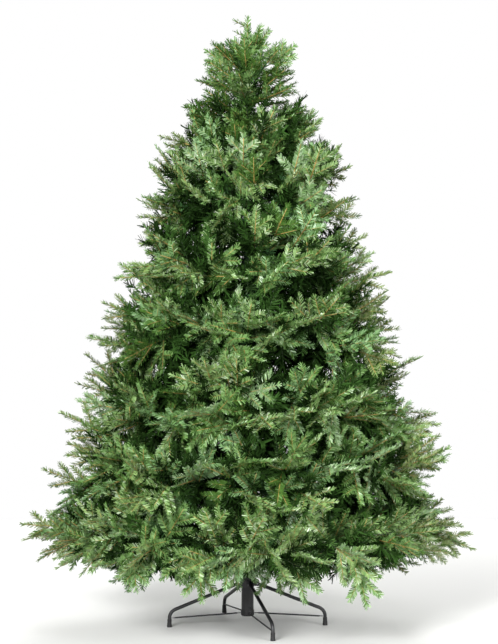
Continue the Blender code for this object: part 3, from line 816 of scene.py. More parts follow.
# A hinge ring is welded on the pole at the foot of every tier: a steel collar with a pair of lugs for each
# bough, which hooks in between them on a pin. All of it is painted with the pole.
RING_HEIGHT = 0.022
RING_WALL = 0.0025
RING_TIGHT = 0.0002
RING_UNDER_HINGE = 0.006
RING_CORNER = 0.0007
LUG_REACH, LUG_SUNK = 0.016, 0.001
LUG_GAP = 0.0078
LUG_THICKNESS = 0.0018
LUG_HEIGHT = 0.86 * RING_HEIGHT
LUG_CORNER = 0.003
PIN_RADIUS = 0.0016
PIN_LENGTH = 2 * (LUG_GAP + LUG_THICKNESS) + 0.003
PIN_OUT, PIN_UP = LUG_REACH - 0.006, 0.0045

rings = []
for tier in range(TIERS):
    height = hinge_height(tier)
    inside = pole_radius(height) - RING_TIGHT
    outside = inside + RING_WALL
    middle = height - RING_UNDER_HINGE
    profile = collar_profile(
        inside, outside, middle - RING_HEIGHT / 2, middle + RING_HEIGHT / 2, RING_CORNER
    )
    rings.append(turned(profile, 24, closed=True))
    for mass in masses_of(tier):
        heading = sector_heading(mass, outside)
        for side in (-1, 1):
            centre = (outside + LUG_REACH / 2 - LUG_SUNK, side * (LUG_GAP + LUG_THICKNESS / 2), middle)
            lug = plate((LUG_REACH, LUG_THICKNESS, LUG_HEIGHT), centre, LUG_CORNER, 2, 1)
            rings.append(turned_to(lug, heading))
        pin = bmesh.new()
        bmesh.ops.create_cone(
            pin, cap_ends=True, segments=8, radius1=PIN_RADIUS, radius2=PIN_RADIUS, depth=PIN_LENGTH
        )
        across = Matrix.Rotation(math.pi / 2, 3, "X")
        bmesh.ops.rotate(pin, cent=(0, 0, 0), matrix=across, verts=pin.verts)
        bmesh.ops.translate(pin, vec=(outside + PIN_OUT, 0, middle + PIN_UP), verts=pin.verts)
        rings.append(turned_to(pin, heading))
add_part("pole_hinge_rings", joined(rings), green_enamel, "pole_steel")


# A bough is a steel rod that forks into thinner wires, all wound with a green tape that also holds the cut
# needles. It hooks into its hinge ring, and its wires are bent apart by hand so that the crown fills up.
STEM_RADIUS, STEM_FORK_RADIUS = 0.0048, 0.0038
TWIG_RADIUS, TWIG_TIP_RADIUS = 0.0030, 0.0018
STEM_ARCH = 0.018
HAND_LENGTH = 0.176
SMALLEST_HAND = 0.138
STEM_POINTS, TWIG_POINTS = 30, 12
STEM_START_GAP = 0.0003
FORK_SHARE = 0.5
TWIG_PULL = 0.36
TAPE_TURN_MM = 12
TAPE_RELIEF = 0.06


def hand_length(tier):
    """How long the moulded tips are: a little shorter towards the top."""
    return HAND_LENGTH + (SMALLEST_HAND - HAND_LENGTH) * tier / TIERS


def curve(start, start_pull, end_pull, end, count):
    """Points along a smooth bend from start to end, as an array."""
    share = np.linspace(0, 1, count)[:, None]
    points = [np.array(p) for p in (start, start_pull, end_pull, end)]
    weights = ((1 - share) ** 3, 3 * share * (1 - share) ** 2, 3 * share**2 * (1 - share), share**3)
    return sum(weight * point for weight, point in zip(weights, points))


def stem_points(mass, end, count):
    """The main bough from its hinge to the fork, a little arched, halfway out to its middle end."""
    start_radius = pole_radius(hinge_height(mass.tier)) + STEM_START_GAP
    end_radius = math.hypot(end.point.x, end.point.y)
    points = []
    for share in np.linspace(0, FORK_SHARE, count):
        height = hinge_height(mass.tier) * (1 - share) + end.point.z * share
        radius = start_radius + (end_radius - start_radius) * share
        lift = STEM_ARCH * math.sin(math.pi * share)
        points.append(polar(radius, sector_heading(mass, radius), height + lift))
    return np.array(points)


def tubes(paths, radii, sides):
    """Points and triangles of many limbs at once: paths is limbs by points by 3, and the ends are closed."""
    ahead = np.gradient(paths, axis=1)
    ahead /= np.linalg.norm(ahead, axis=2, keepdims=True)
    level = np.cross(ahead, (0.0, 0.0, 1.0))
    level[np.linalg.norm(level, axis=2) < 0.05] = (1.0, 0.0, 0.0)
    level /= np.linalg.norm(level, axis=2, keepdims=True)
    rise = np.cross(level, ahead)
    angles = TAU * np.arange(sides) / sides
    ring = level[:, :, None] * np.cos(angles)[:, None] + rise[:, :, None] * np.sin(angles)[:, None]
    points = paths[:, :, None] + ring * np.broadcast_to(radii, paths.shape[:2])[:, :, None, None]
    index = np.arange(points.shape[0] * points.shape[1] * sides).reshape(points.shape[:3])
    low, high = index[:, :-1], index[:, 1:]
    low_next, high_next = np.roll(low, -1, axis=2), np.roll(high, -1, axis=2)
    walls = np.stack([low, high, high_next, low, high_next, low_next], axis=-1).reshape(-1, 3)
    caps = []
    for i in range(1, sides - 1):
        caps.append(index[:, 0, [0, i, i + 1]])
        caps.append(index[:, -1, [0, i + 1, i]])
    return points.reshape(-1, 3), np.concatenate([walls, *caps])


def add_array_piece(name, points, triangles, materials, material_index=None):
    """A new object from arrays of points and triangles."""
    mesh = bpy.data.meshes.new(name)
    mesh.vertices.add(len(points))
    mesh.vertices.foreach_set("co", np.ascontiguousarray(points, np.float32).ravel())
    mesh.loops.add(triangles.size)
    mesh.loops.foreach_set("vertex_index", np.ascontiguousarray(triangles, np.int32).ravel())
    mesh.polygons.add(len(triangles))
    mesh.polygons.foreach_set("loop_start", np.arange(0, triangles.size, 3, dtype=np.int32))
    for material in materials:
        mesh.materials.append(material)
    if material_index is not None:
        mesh.polygons.foreach_set("material_index", np.ascontiguousarray(material_index, np.int32))
    mesh.update(calc_edges=True)
    piece = bpy.data.objects.new(name, mesh)
    bpy.context.scene.collection.objects.link(piece)
    return piece


def stacked(parts):
    """Several sets of points and triangles as one."""
    offsets = np.cumsum([0, *(len(points) for points, _ in parts)])[:-1]
    points = np.concatenate([points for points, _ in parts])
    return points, np.concatenate([triangles + offset for (_, triangles), offset in zip(parts, offsets)])


# Green PVC tape, wound on wire: dark and dull, and uneven at about the size of its turns.
wound_tape = mottled(
    "green_pvc_tape_on_wire",
    TAPE_TURN_MM,
    3,
    ("#1A2A17", "#30441F"),
    relief=(TAPE_TURN_MM, 3, 0.5, 0.0006),
    Roughness=0.62,
)

stems = {tier: [] for tier in range(TIERS)}
twigs = {tier: [] for tier in range(TIERS)}
for tier in range(TIERS):
    for mass in masses_of(tier):
        chance = random.Random(mass.name)
        ends = list(bough_ends(mass, chance))
        main = ends[ENDS_PER_MASS // 2]
        ends += between_ends(mass, chance)
        if tier == 0:
            ends.append(skirt_end(mass))
        stem = stem_points(mass, main, STEM_POINTS)
        stems[tier].append(stem)
        fork = Vector(stem[-1])
        onward = Vector(stem[-1] - stem[-2]).normalized()
        for end in ends:
            tip = end.point + end.axis * (spray_length(tier) - hand_length(tier))
            pull = (tip - fork).length * TWIG_PULL
            twigs[tier].append(
                curve(fork, fork + onward * pull, tip - end.axis * pull, tip, TWIG_POINTS)
            )

for tier in range(TIERS):
    wind = 1 + TAPE_RELIEF * np.cos(np.arange(STEM_POINTS) * math.pi)
    stem_radii = np.linspace(STEM_RADIUS, STEM_FORK_RADIUS, STEM_POINTS) * wind
    twig_radii = np.linspace(TWIG_RADIUS, TWIG_TIP_RADIUS, TWIG_POINTS)
    parts = [tubes(np.array(stems[tier]), stem_radii, 8), tubes(np.array(twigs[tier]), twig_radii, 4)]
    boughs = add_array_piece(f"boughs_{tier_name(tier)}", *stacked(parts), [wound_tape])
    boughs.data.shade_smooth()
    fitted(boughs, "needles", *nodes_of(tier))


# A moulded tip, or hand, is one piece of soft polyethylene: a tan stalk with a leader and pairs of side
# shoots in one plane, each thick with needles. One hand goes on from a wire's end, bent a little aside, and
# the others open out round it like petals, with their flat sides facing outwards.
HANDS_BEHIND = (2, 2, 2, 2, 1, 1, 1)
HANDS_AT_LESSER_ENDS = 1
LEADER_TILT = 0.45
LEADER_ROLL = 0.95
HAND_OPENING = (math.radians(52), math.radians(78))
OPENING_SCATTER, TURN_SCATTER = 0.12, 0.35
HAND_SIZES = (0.80, 1.02)
HAND_BENDS = (-0.04, 0.10)
FIRST_STEP, LAST_STEP = 0.004, 0.075
SIDE_SHOOTS = ((0.18, 0.53), (0.50, 0.44))
MISSING_SHOOT = 0.12
SHOOT_OPENING = math.radians(42)
SHOOT_SHIFT = 0.04
SHOOT_TILTS, SHOOT_SIZES = (-0.12, 0.16), (0.85, 1.12)
LOWEST_OVER_UNDERSIDE = -0.004
RAISE_STEP, MOST_RAISES = 0.12, 14
PARTING_WIDTH, PARTING_LIFT = 0.13, 0.085
STALK_RADIUS, STALK_TIP_RADIUS = 0.0023, 0.0011
SHOOT_STALK_RADIUS = 0.0013
STALK_UNTIL = 0.93
LONG_SHOOT = 0.09
BLUSH_MM = 25

# Greens are dealt out hand by hand. These are the sRGB colours of the plastic itself, with the share that
# each has of the outer hands. The exceptions are shade, a darker copy that paints shade, and the palest, a
# paler copy that paints highlights. The other shares are for the hands inside the crown, which are dealt
# darker greens as painted shade, those at its two sides, where the photo's look browner, and those of the
# top, which take mostly the shade green as painted shade.
MOULDED_GREENS = {
    "fresh": ("#7A9556", 0.16),
    "mid": ("#739255", 0.42),
    "deep": ("#64884A", 0.12),
    "grey": ("#7A9769", 0.15),
    "blue": ("#6A8F5A", 0.15),
    "shade": ("#3F5E25", 0.0),
    "olive": ("#6C7C49", 0.0),
    "pale": ("#9DB08B", 0.0),
}
# Inside the crown, hands are dealt darker greens as painted shade.
SHADED_INSIDE_GREENS = (0.0, 0.22, 0.50, 0.04, 0.14, 0.10, 0.0, 0.0)
SIDE_GREENS = (0.18, 0.26, 0.04, 0.12, 0.06, 0.0, 0.34, 0.0)
# The top's hands are dealt mostly the shade green, as painted shade that darkens the top.
TOP_GREENS = (0.0, 0.02, 0.26, 0.0, 0.06, 0.62, 0.04, 0.0)
SIDE_SHARE = 0.80
DEEP_SHARE, DEEP_RISE = 0.87, 0.05
# The greens of the bunches of needles that are painted shade and of those that are painted highlights, for a
# hand of each green.
SHADED_GREENS = np.array([2, 5, 5, 2, 5, 5, 5])
LIT_GREENS = np.array([7, 7, 1, 7, 3, 2, 0])
Shoot = namedtuple("Shoot", "start along face length bend green")


def tilted(axis, opening, around):
    """The axis tilted by an angle, towards a bearing around it that counts from straight down."""
    level = UP.cross(axis)
    level = level.normalized() if level.length > 0.01 else Vector((1, 0, 0))
    hinge = Quaternion(axis, around) @ level
    return Quaternion(hinge, opening) @ axis


def squared(face, along):
    """The face direction made square to the shoot."""
    flat = face - along * face.dot(along)
    return flat.normalized() if flat.length > 1e-3 else along.orthogonal().normalized()


def behind(path, distance):
    """The point of a wire at a distance back from its end, and the wire's direction there."""
    steps = np.linalg.norm(np.diff(path, axis=0), axis=1)
    distance = min(distance, steps.sum() * 0.85)
    from_end = np.concatenate([[0], np.cumsum(steps[::-1])])
    point = Vector([np.interp(distance, from_end, path[::-1, k]) for k in range(3)])
    i = min(len(path) - 2, int(np.searchsorted(from_end, distance)))
    return point, Vector(path[-1 - i] - path[-2 - i]).normalized()


def hand_shoots(root, along, face, length, pairs, chance, green=None):
    """The leader and side shoots of one hand, of a green that is given or drawn."""
    face = squared(face, along)
    side = along.cross(face)
    tip = root + along * length
    shares = [share for _, share in MOULDED_GREENS.values()]
    if abs(tip.x) > SIDE_SHARE * side_reach(tip.z):
        shares = SIDE_GREENS
    # Hands deep inside the crown take the darker greens of painted shade.
    if math.hypot(tip.x, tip.y) <= (DEEP_SHARE + DEEP_RISE * tip.z) * side_reach(tip.z):
        shares = SHADED_INSIDE_GREENS
    names = list(MOULDED_GREENS)
    green = names.index(green or chance.choices(names, shares)[0])
    bend = chance.uniform(*HAND_BENDS)
    yield Shoot(root, along, face, length, bend, green)
    for at, size in pairs:
        for sign in (-1, 1):
            if chance.random() < MISSING_SHOOT:
                continue
            share = at + chance.uniform(-SHOOT_SHIFT, SHOOT_SHIFT)
            start = root + (along * share + face * bend * share**2) * length
            opening = SHOOT_OPENING + chance.uniform(-OPENING_SCATTER, OPENING_SCATTER)
            out = along * math.cos(opening) + side * (sign * math.sin(opening))
            out = (out + face * chance.uniform(*SHOOT_TILTS)).normalized()
            reach = length * size * chance.uniform(*SHOOT_SIZES)
            yield Shoot(start, out, squared(face, out), reach, bend, green)


def kept_up(root, direction, length, clearance=LOWEST_OVER_UNDERSIDE):
    """The direction, raised as far as it must be for its tip to stay over the crown's underside."""
    for _ in range(MOST_RAISES):
        tip = root + direction * length
        parting = PARTING_LIFT * max(0, 1 - abs(tip.x) / PARTING_WIDTH) * (tip.y < 0)
        if tip.z >= underside(math.hypot(tip.x, tip.y)) + clearance + parting:
            break
        direction = (direction + UP * RAISE_STEP).normalized()
    return direction


def hands_of_end(path, tier, count, chance):
    """The hands round one wire's end."""
    length = hand_length(tier)
    tip, axis = behind(path, 0)
    ahead = tilted(axis, chance.uniform(0, LEADER_TILT), chance.uniform(0, TAU))
    ahead = kept_up(tip, ahead, length)
    face = Quaternion(ahead, chance.uniform(-LEADER_ROLL, LEADER_ROLL)) @ squared(UP, ahead)
    yield from hand_shoots(tip, ahead, face, length, SIDE_SHOOTS, chance)
    turn = chance.uniform(0, TAU)
    for i in range(count):
        share = (i + 0.5) / count
        root, axis = behind(path, FIRST_STEP + (LAST_STEP - FIRST_STEP) * share)
        opening = HAND_OPENING[0] + (HAND_OPENING[1] - HAND_OPENING[0]) * share
        opening += chance.uniform(-OPENING_SCATTER, OPENING_SCATTER)
        around = turn + TAU * i / count + chance.uniform(-TURN_SCATTER, TURN_SCATTER)
        direction = kept_up(root, tilted(axis, opening, around), length)
        size = length * chance.uniform(*HAND_SIZES)
        yield from hand_shoots(root, direction, axis, size, SIDE_SHOOTS, chance)


# The top is a leader with two short side shoots on its left, over whorls of hands that widen downwards. A
# few more hands are bent by hand to stand out at the sides or to hang under the crown, and each of these
# grows from the wire nearest to its place.
HANGING_TIPS = (
    # x, y and height of the tips that hang under the front of the crown
    (-0.348, -0.50, 0.209),
    (-0.142, -0.50, 0.177),
    (0.181, -0.50, 0.171),
    (0.375, -0.50, 0.158),
    (0.036, -0.14, 0.141),
    (-0.030, -0.13, 0.166),
)
FACING_UP_AND_FRONT = Vector((0, -0.6, 0.8))
STANDING_OUT = (
    # x and height of the tips that stand out most at the sides, and their pitch in degrees
    (-0.296, 1.690, 16),
    (-0.372, 1.407, 14),
    (-0.496, 1.111, 12),
    (-0.493, 1.028, 14),
    (-0.564, 0.925, 8),
    (-0.585, 0.832, 14),
    (-0.643, 0.728, 12),
    (-0.702, 0.532, 10),
    (-0.774, 0.342, 4),
    (0.348, 1.587, 20),
    (0.485, 1.204, 20),
    (0.519, 1.018, 12),
    (0.657, 0.690, 18),
    (0.699, 0.394, 14),
    (0.778, 0.273, -8),
)
FRONT = Vector((0, -1, 0))
TOP_LEADER_ROOT, TOP_LEADER_TIP = 1.935, TREE_HEIGHT - 0.006
TOP_LEADER_SHOOTS = ((0.030, 0.046), (0.068, 0.046))
TOP_HANDS = (
    # radius and height of the root, heading and pitch in degrees, length, pairs of side shoots, green
    (0.022, 2.000, 10, 70, 0.070, 0, "deep"),
    (0.020, 1.985, -20, 48, 0.085, 1, "deep"),
    (0.072, 1.935, 0, 36, 0.110, 2, "deep"),
    (0.018, 1.955, 180, 52, 0.075, 1, "deep"),
    (0.045, 1.915, 186, 34, 0.115, 2, "deep"),
    (0.020, 1.930, 262, 50, 0.115, 2, "deep"),
    (0.020, 1.925, 85, 52, 0.120, 2, "blue"),
)
TOP_WHORLS = (
    # radius and height of the tips, how many, pitch in degrees, length
    (0.072, 2.030, 3, 58, 0.105),
    (0.120, 1.985, 5, 42, 0.130),
    (0.158, 1.938, 6, 32, 0.138),
    (0.180, 1.890, 7, 24, 0.138),
    (0.195, 1.842, 7, 18, 0.138),
    (0.215, 1.790, 7, 13, 0.138),
    (0.230, 1.738, 7, 8, 0.138),
)
# How far a whorl's hands stray in heading and pitch, both in degrees, in roll and in height.
WHORL_TURN, WHORL_PITCH, WHORL_ROLL, WHORL_RISE = 12, 9, 0.6, 0.018
WHORL_SIZES = (0.82, 1.08)


def direction_of(heading_degrees, pitch_degrees):
    return pitched(math.radians(heading_degrees), math.radians(pitch_degrees))


def hands_of_top(chance):
    """The shoots of the top: its leader, the hands beside it and the whorls under them."""
    yield Shoot(UP * TOP_LEADER_ROOT, UP, FRONT, TOP_LEADER_TIP - TOP_LEADER_ROOT, 0.0, 2)
    for down, length in TOP_LEADER_SHOOTS:
        out = direction_of(180, 24)
        yield Shoot(UP * (TOP_LEADER_TIP - down), out, squared(UP, out), length, 0.06, 1)
    for radius, height, heading, pitch, length, pairs, green in TOP_HANDS:
        out = direction_of(heading, pitch)
        face = FRONT if abs(math.sin(math.radians(heading))) < 0.7 else UP
        root = polar(radius, math.radians(heading), height)
        yield from hand_shoots(root, out, face, length, SIDE_SHOOTS[:pairs], chance, green)
    for radius, height, count, pitch, length in TOP_WHORLS:
        start = chance.uniform(0, 360)
        for i in range(count):
            heading = start + 360 * i / count + chance.uniform(-WHORL_TURN, WHORL_TURN)
            out = direction_of(heading, pitch + chance.uniform(-WHORL_PITCH, WHORL_PITCH))
            face = Quaternion(out, chance.uniform(-WHORL_ROLL, WHORL_ROLL)) @ squared(UP, out)
            size = length * chance.uniform(*WHORL_SIZES)
            level = height + chance.uniform(-WHORL_RISE, WHORL_RISE)
            root = polar(radius, math.radians(heading), level)
            root -= direction_of(heading, pitch) * length
            # Mostly the shade green: painted shade that darkens the top.
            green = chance.choices(list(MOULDED_GREENS), TOP_GREENS)[0]
            yield from hand_shoots(root, out, face, size, SIDE_SHOOTS, chance, green)


def placed_hand(tip, along, face, green):
    """The tier and the shoots of a hand with its tip at a given place, grown from the nearest wire."""
    aim = np.array(tip - along * HAND_LENGTH)
    near = []
    for tier, paths in twigs.items():
        points = np.concatenate(paths)
        distances = np.linalg.norm(points - aim, axis=1)
        near.append((distances.min(), tier, Vector(points[distances.argmin()])))
    _, tier, root = min(near, key=lambda found: found[0])
    out = tip - root
    chance = random.Random(f"placed_{tip.x:.3f}")
    return tier, hand_shoots(root, out.normalized(), face, out.length, SIDE_SHOOTS, chance, green)


moulded = {tier: [] for tier in range(TIERS + 1)}
for tier in range(TIERS):
    chance = random.Random(f"hands_{tier + 1}")
    per_mass = len(twigs[tier]) // MASSES_PER_TIER[tier]
    for i, path in enumerate(twigs[tier]):
        lesser = ENDS_PER_MASS <= i % per_mass < ENDS_PER_MASS + len(BETWEEN_ENDS)
        count = HANDS_AT_LESSER_ENDS if lesser else HANDS_BEHIND[tier]
        moulded[tier] += hands_of_end(path, tier, count, chance)
# The hands that hang under the crown are dealt the deep green, as painted shade under it.
for place in HANGING_TIPS:
    tier, hand = placed_hand(Vector(place), -UP, FRONT, "deep")
    moulded[tier] += hand
for x, height, pitch in STANDING_OUT:
    out = direction_of(0 if x > 0 else 180, pitch)
    tier, hand = placed_hand(Vector((x, 0, height)), out, FACING_UP_AND_FRONT, "olive")
    moulded[tier] += hand
moulded[TIERS] += hands_of_top(random.Random("hands_top"))

# Tan polyethylene, moulded in one shot with the needles and then tinted: the stalks show as warm brown lines.
tan_stalk = mottled(
    "tan_moulded_stalk", BLUSH_MM, 2, ("#7A6C38", "#AE8A4C"), stops=(0.35, 0.70), Roughness=0.55
)


def shoot_arrays(shoots):
    """The shoots' starts, directions, faces, lengths and bends as arrays."""
    parts = ("start", "along", "face", "length", "bend")
    return [np.array([getattr(shoot, part) for shoot in shoots], float) for part in parts]


def shoot_paths(shoots, count):
    """Points along the middle of each shoot, almost to its tip."""
    start, along, face, length, bend = shoot_arrays(shoots)
    share = np.linspace(0, STALK_UNTIL, count)[None, :, None]
    way = along[:, None] * share + face[:, None] * bend[:, None, None] * share**2
    return start[:, None] + way * length[:, None, None]


for tier in range(TIERS + 1):
    leaders = [shoot for shoot in moulded[tier] if shoot.length > LONG_SHOOT]
    lesser = [shoot for shoot in moulded[tier] if shoot.length <= LONG_SHOOT]
    parts = [
        tubes(shoot_paths(leaders, 4), np.linspace(STALK_RADIUS, STALK_TIP_RADIUS, 4), 3),
        tubes(shoot_paths(lesser, 2), np.array([SHOOT_STALK_RADIUS, STALK_TIP_RADIUS * 0.7]), 3),
    ]
    stalks = add_array_piece(f"stalks_{tier_name(tier)}", *stacked(parts), [tan_stalk])
    fitted(stalks, "needles", *nodes_of(tier))


# Over the pole's end one thick wire goes on up to the leader. Thin wires branch off it to the top's hands,
# all wound with the same green tape.
TOP_WIRE_RADIUS, TOP_WIRE_TIP_RADIUS = 0.0042, 0.0018
TOP_WIRE_OVER_ROOT = 0.03
BRANCH_SLOPE, BRANCH_PULL = 0.4, 0.02

wire_foot = POLE_SECTIONS[-1][1]
leader_wire = [(0, 0, z) for z in np.linspace(wire_foot, TOP_LEADER_ROOT + TOP_WIRE_OVER_ROOT, 6)]
branches = []
for shoot in moulded[TIERS]:
    radius = math.hypot(shoot.start.x, shoot.start.y)
    if shoot.length > LONG_SHOOT and radius > 0.03:
        foot = UP * max(wire_foot, shoot.start.z - BRANCH_SLOPE * radius)
        pull = shoot.start - shoot.along * BRANCH_PULL
        branches.append(curve(foot, foot.lerp(shoot.start, 0.5), pull, shoot.start, 5))
parts = [
    tubes(np.array([leader_wire]), np.linspace(TOP_WIRE_RADIUS, TOP_WIRE_TIP_RADIUS, 6), 6),
    tubes(np.array(branches), np.linspace(TOP_WIRE_TIP_RADIUS, TWIG_TIP_RADIUS, 5), 3),
]
top_wires = add_array_piece("boughs_top", *stacked(parts), [wound_tape])
top_wires.data.shade_smooth()
fitted(top_wires, "needles", "foliage_top")


# The moulded needles stand out from every shoot, most of them to its two sides, and lean forward more and
# more towards its tip. They are wider than real ones, for there are fewer of them. Bunch by bunch they are
# dealt a darker green as painted shade, always those under the shoot, or a paler one as a painted highlight.
MOULDED_NEEDLE = 0.0183
MOULDED_WIDTHS = (0.0025, 0.0020)
MOULDED_PER_METRE = 1000
MOULDED_LEAN = (math.radians(60), math.radians(40))
SIDE_SPREAD = math.radians(17)
SIDE_RAISE = 0.30
NEEDLES_PER_BUNCH = 2
LOOSE_SHARE = 0.10
FIRST_NEEDLE = 0.06
FEWEST_NEEDLES = 8
TIP_FAN, TIP_FAN_LEAN = 0.13, 1.05
LEAN_SCATTER, BROAD_SCATTER, TWIST_SCATTER, CURL_SCATTER = 0.04, 0.35, 0.30, 0.06
NEEDLE_SIZES, SHORTER_AT_TIP = (0.95, 1.05), 0.14
ROOT_SIZE, ROOT_GROWTH = 0.72, 1.4
# Shares of the bunches given painted shade and painted highlights. Needles under the shoot always get painted
# shade.
DARK_SHARE, LIT_SHARE = 0.22, 0.12
UNDER_LINE, UNDER_SCATTER = -0.18, 0.15

NeedleKind = namedtuple("NeedleKind", "length widths per_metre lean spread loose first dealt_by_bunch")


def needles(shoots, kind, seed):
    """Points and triangles of the needles of many shoots, and each triangle's green."""
    chance = np.random.default_rng(seed)
    start, along, face, length, bend = shoot_arrays(shoots)
    counts = np.maximum(FEWEST_NEEDLES, np.round(length * kind.per_metre)).astype(int)
    which = np.repeat(np.arange(len(shoots)), counts)
    total = len(which)
    order = np.arange(total) - np.repeat(np.cumsum(counts) - counts, counts)
    share = kind.first + (1 - kind.first) * (order + chance.uniform(0.2, 0.8, total)) / counts[which]
    along, face, reach, bend = along[which], face[which], length[which], bend[which]
    root = start[which] + (along * share[:, None] + face * (bend * share**2)[:, None]) * reach[:, None]
    ahead = along + face * (2 * bend * share)[:, None]
    ahead /= np.linalg.norm(ahead, axis=1, keepdims=True)
    side = np.cross(ahead, face)
    side /= np.linalg.norm(side, axis=1, keepdims=True)
    over = np.cross(side, ahead)
    bearing = np.where(order % 2, SIDE_RAISE, math.pi - SIDE_RAISE)
    around = bearing + chance.normal(0, kind.spread, total)
    loose = chance.uniform(0, 1, total) < kind.loose
    around[loose] = chance.uniform(0, TAU, loose.sum())
    out = side * np.cos(around)[:, None] + over * np.sin(around)[:, None]
    lean = kind.lean[0] + (kind.lean[1] - kind.lean[0]) * share**2 + chance.normal(0, LEAN_SCATTER, total)
    last = share > 1 - TIP_FAN
    lean[last] = chance.uniform(0, TIP_FAN_LEAN, last.sum())
    point = ahead * np.cos(lean)[:, None] + out * np.sin(lean)[:, None]
    across = np.cross(ahead, out)
    flat = np.cross(across, point)
    broad = flat * np.abs(np.cos(around))[:, None] + across * np.sin(around)[:, None]
    broad += across * chance.normal(0, BROAD_SCATTER, (total, 1))
    broad /= np.linalg.norm(broad, axis=1, keepdims=True)
    thick = np.cross(point, broad)
    twist = chance.normal(0, TWIST_SCATTER, (total, 1))
    broad_tip = (broad * np.cos(twist) + thick * np.sin(twist)) * kind.widths[1] / 2
    broad *= kind.widths[0] / 2
    size = kind.length * chance.uniform(*NEEDLE_SIZES, total) * (1 - SHORTER_AT_TIP * share**4)
    size *= np.minimum(1, ROOT_SIZE + ROOT_GROWTH * share)
    curl = (chance.normal(0, CURL_SCATTER, total) * size)[:, None]
    tip = root + point * size[:, None] + thick * curl
    corners = np.stack([root - broad, root + broad, tip + broad_tip, tip - broad_tip], axis=1)
    index = np.arange(total)[:, None] * 4
    triangles = np.concatenate([index + [0, 1, 2], index + [0, 2, 3]], axis=1).reshape(-1, 3)
    greens = np.array([shoot.green for shoot in shoots])[which]
    # Painted shade and painted highlights: needles under the shoot and some bunches take the darker green,
    # some others the paler one.
    if kind.dealt_by_bunch:
        under = np.sin(around) + chance.normal(0, UNDER_SCATTER, total) < UNDER_LINE
        bunch = np.arange(total) - order + order // (2 * NEEDLES_PER_BUNCH) * 2 + order % 2
        tone = chance.uniform(0, 1, total)[bunch]
        dark, lit = under | (tone < DARK_SHARE), ~under & (tone > 1 - LIT_SHARE)
        greens = np.where(dark, SHADED_GREENS[greens], np.where(lit, LIT_GREENS[greens], greens))
    return corners.reshape(-1, 3), triangles, np.repeat(greens, 2)


def plain_greens(kind, greens, usual, others):
    """A plain material for each green, with the usual roughness and sheen or those of its own name."""
    for name, (color, _) in greens.items():
        roughness, sheen = others.get(name, usual)
        material, _, shader = new_material(
            f"{kind}_needles_{name}", Roughness=roughness, IOR=1.5, Specular_IOR_Level=sheen
        )
        shader.inputs["Base Color"].default_value = linear(color)
        yield material


# Soft green polyethylene, injection moulded: satin, so each needle takes a small sheen of the light. The
# colours are plain, with painted shade and painted highlights among them. Only the shade green, which paints
# the shaded bunches, has next to no sheen.
moulded_greens = list(plain_greens("moulded", MOULDED_GREENS, (0.38, 0.70), {"shade": (0.38, 0.15)}))

moulded_kind = NeedleKind(
    MOULDED_NEEDLE,
    MOULDED_WIDTHS,
    MOULDED_PER_METRE,
    MOULDED_LEAN,
    SIDE_SPREAD,
    LOOSE_SHARE,
    FIRST_NEEDLE,
    True,
)
for tier in range(TIERS + 1):
    points, triangles, greens = needles(moulded[tier], moulded_kind, tier + 1)
    name = f"moulded_needles_{tier_name(tier)}"
    piece = add_array_piece(name, points, triangles, moulded_greens, greens)
    fitted(piece, "needles", *nodes_of(tier))


# Cut needles are strips of PVC film, held by the winding all along the wires. They stand out all round,
# longer, darker and more pointed than the moulded ones. Longer and broader ones fill the inside of the crown.
CUT_NEEDLE = 0.026
CUT_WIDTHS = (0.0030, 0.0018)
CUT_PER_METRE = 540
CUT_LEAN = (math.radians(66), math.radians(38))
CUT_TIPS = 2
CUT_CLEARANCE = 0.030
CUT_REACH = 0.90
CUT_BACK, MOST_CUTS = 0.85, 6
CUT_TIP_SIZES, CUT_BEND = (0.8, 1.05), 0.08
CUT_TIP_SPAN, CUT_TIP_LAST = 0.30, 0.85
GOLDEN_TURN, GOLDEN_STEP, GOLDEN_DEGREES = 0.382, 0.618, 137.5
INSIDE_CLEARANCE = 0.048
INSIDE_SPREAD = 0.95
INSIDE_TIPS = (76, 66, 60, 56, 46, 36, 22)
INSIDE_REACH = (0.16, 0.78)
INSIDE_TIP_LENGTHS, INSIDE_OVERSHOOT = (0.09, 0.17), 0.03
INSIDE_SHARES = (0.55, 0.45)
INSIDE_NEEDLE = 0.034
INSIDE_WIDTHS = (0.0060, 0.0032)
INSIDE_PER_METRE = 400
CUT_TIP_LENGTH = 0.115
CUT_TIP_START = 0.075
CUT_TIP_OPENING = (math.radians(45), math.radians(88))
CUT_WIRE_RADII = (0.0012, 0.0010, 0.0008)
SHORTEST_WIRE = 0.08
# The inner greens are darker copies for the needles inside the crown, as painted shade.
CUT_GREENS = {
    "dark": ("#426230", 0.40),
    "green": ("#567C3F", 0.40),
    "blue": ("#4A7545", 0.20),
    "inner": ("#182C0D", 0.0),
    "inner_green": ("#2C481C", 0.0),
}


def kept_inside(root, direction, length):
    """The length, cut back until the tip stays inside the hands."""
    for _ in range(MOST_CUTS):
        tip = root + direction * length
        reach = side_reach(tip.z) + swell(tip.z, math.atan2(tip.y, tip.x))
        if math.hypot(tip.x, tip.y) < CUT_REACH * reach:
            break
        length *= CUT_BACK
    return length


def wound_on(path, first, last, every, green):
    """The needles wound on a part of a wire, as a shoot for every few of its points."""
    for a, b in zip(path[first:last:every], path[first + every :: every]):
        step = Vector(b - a)
        along = step.normalized()
        yield Shoot(Vector(a), along, squared(UP, along), step.length, 0.0, green)


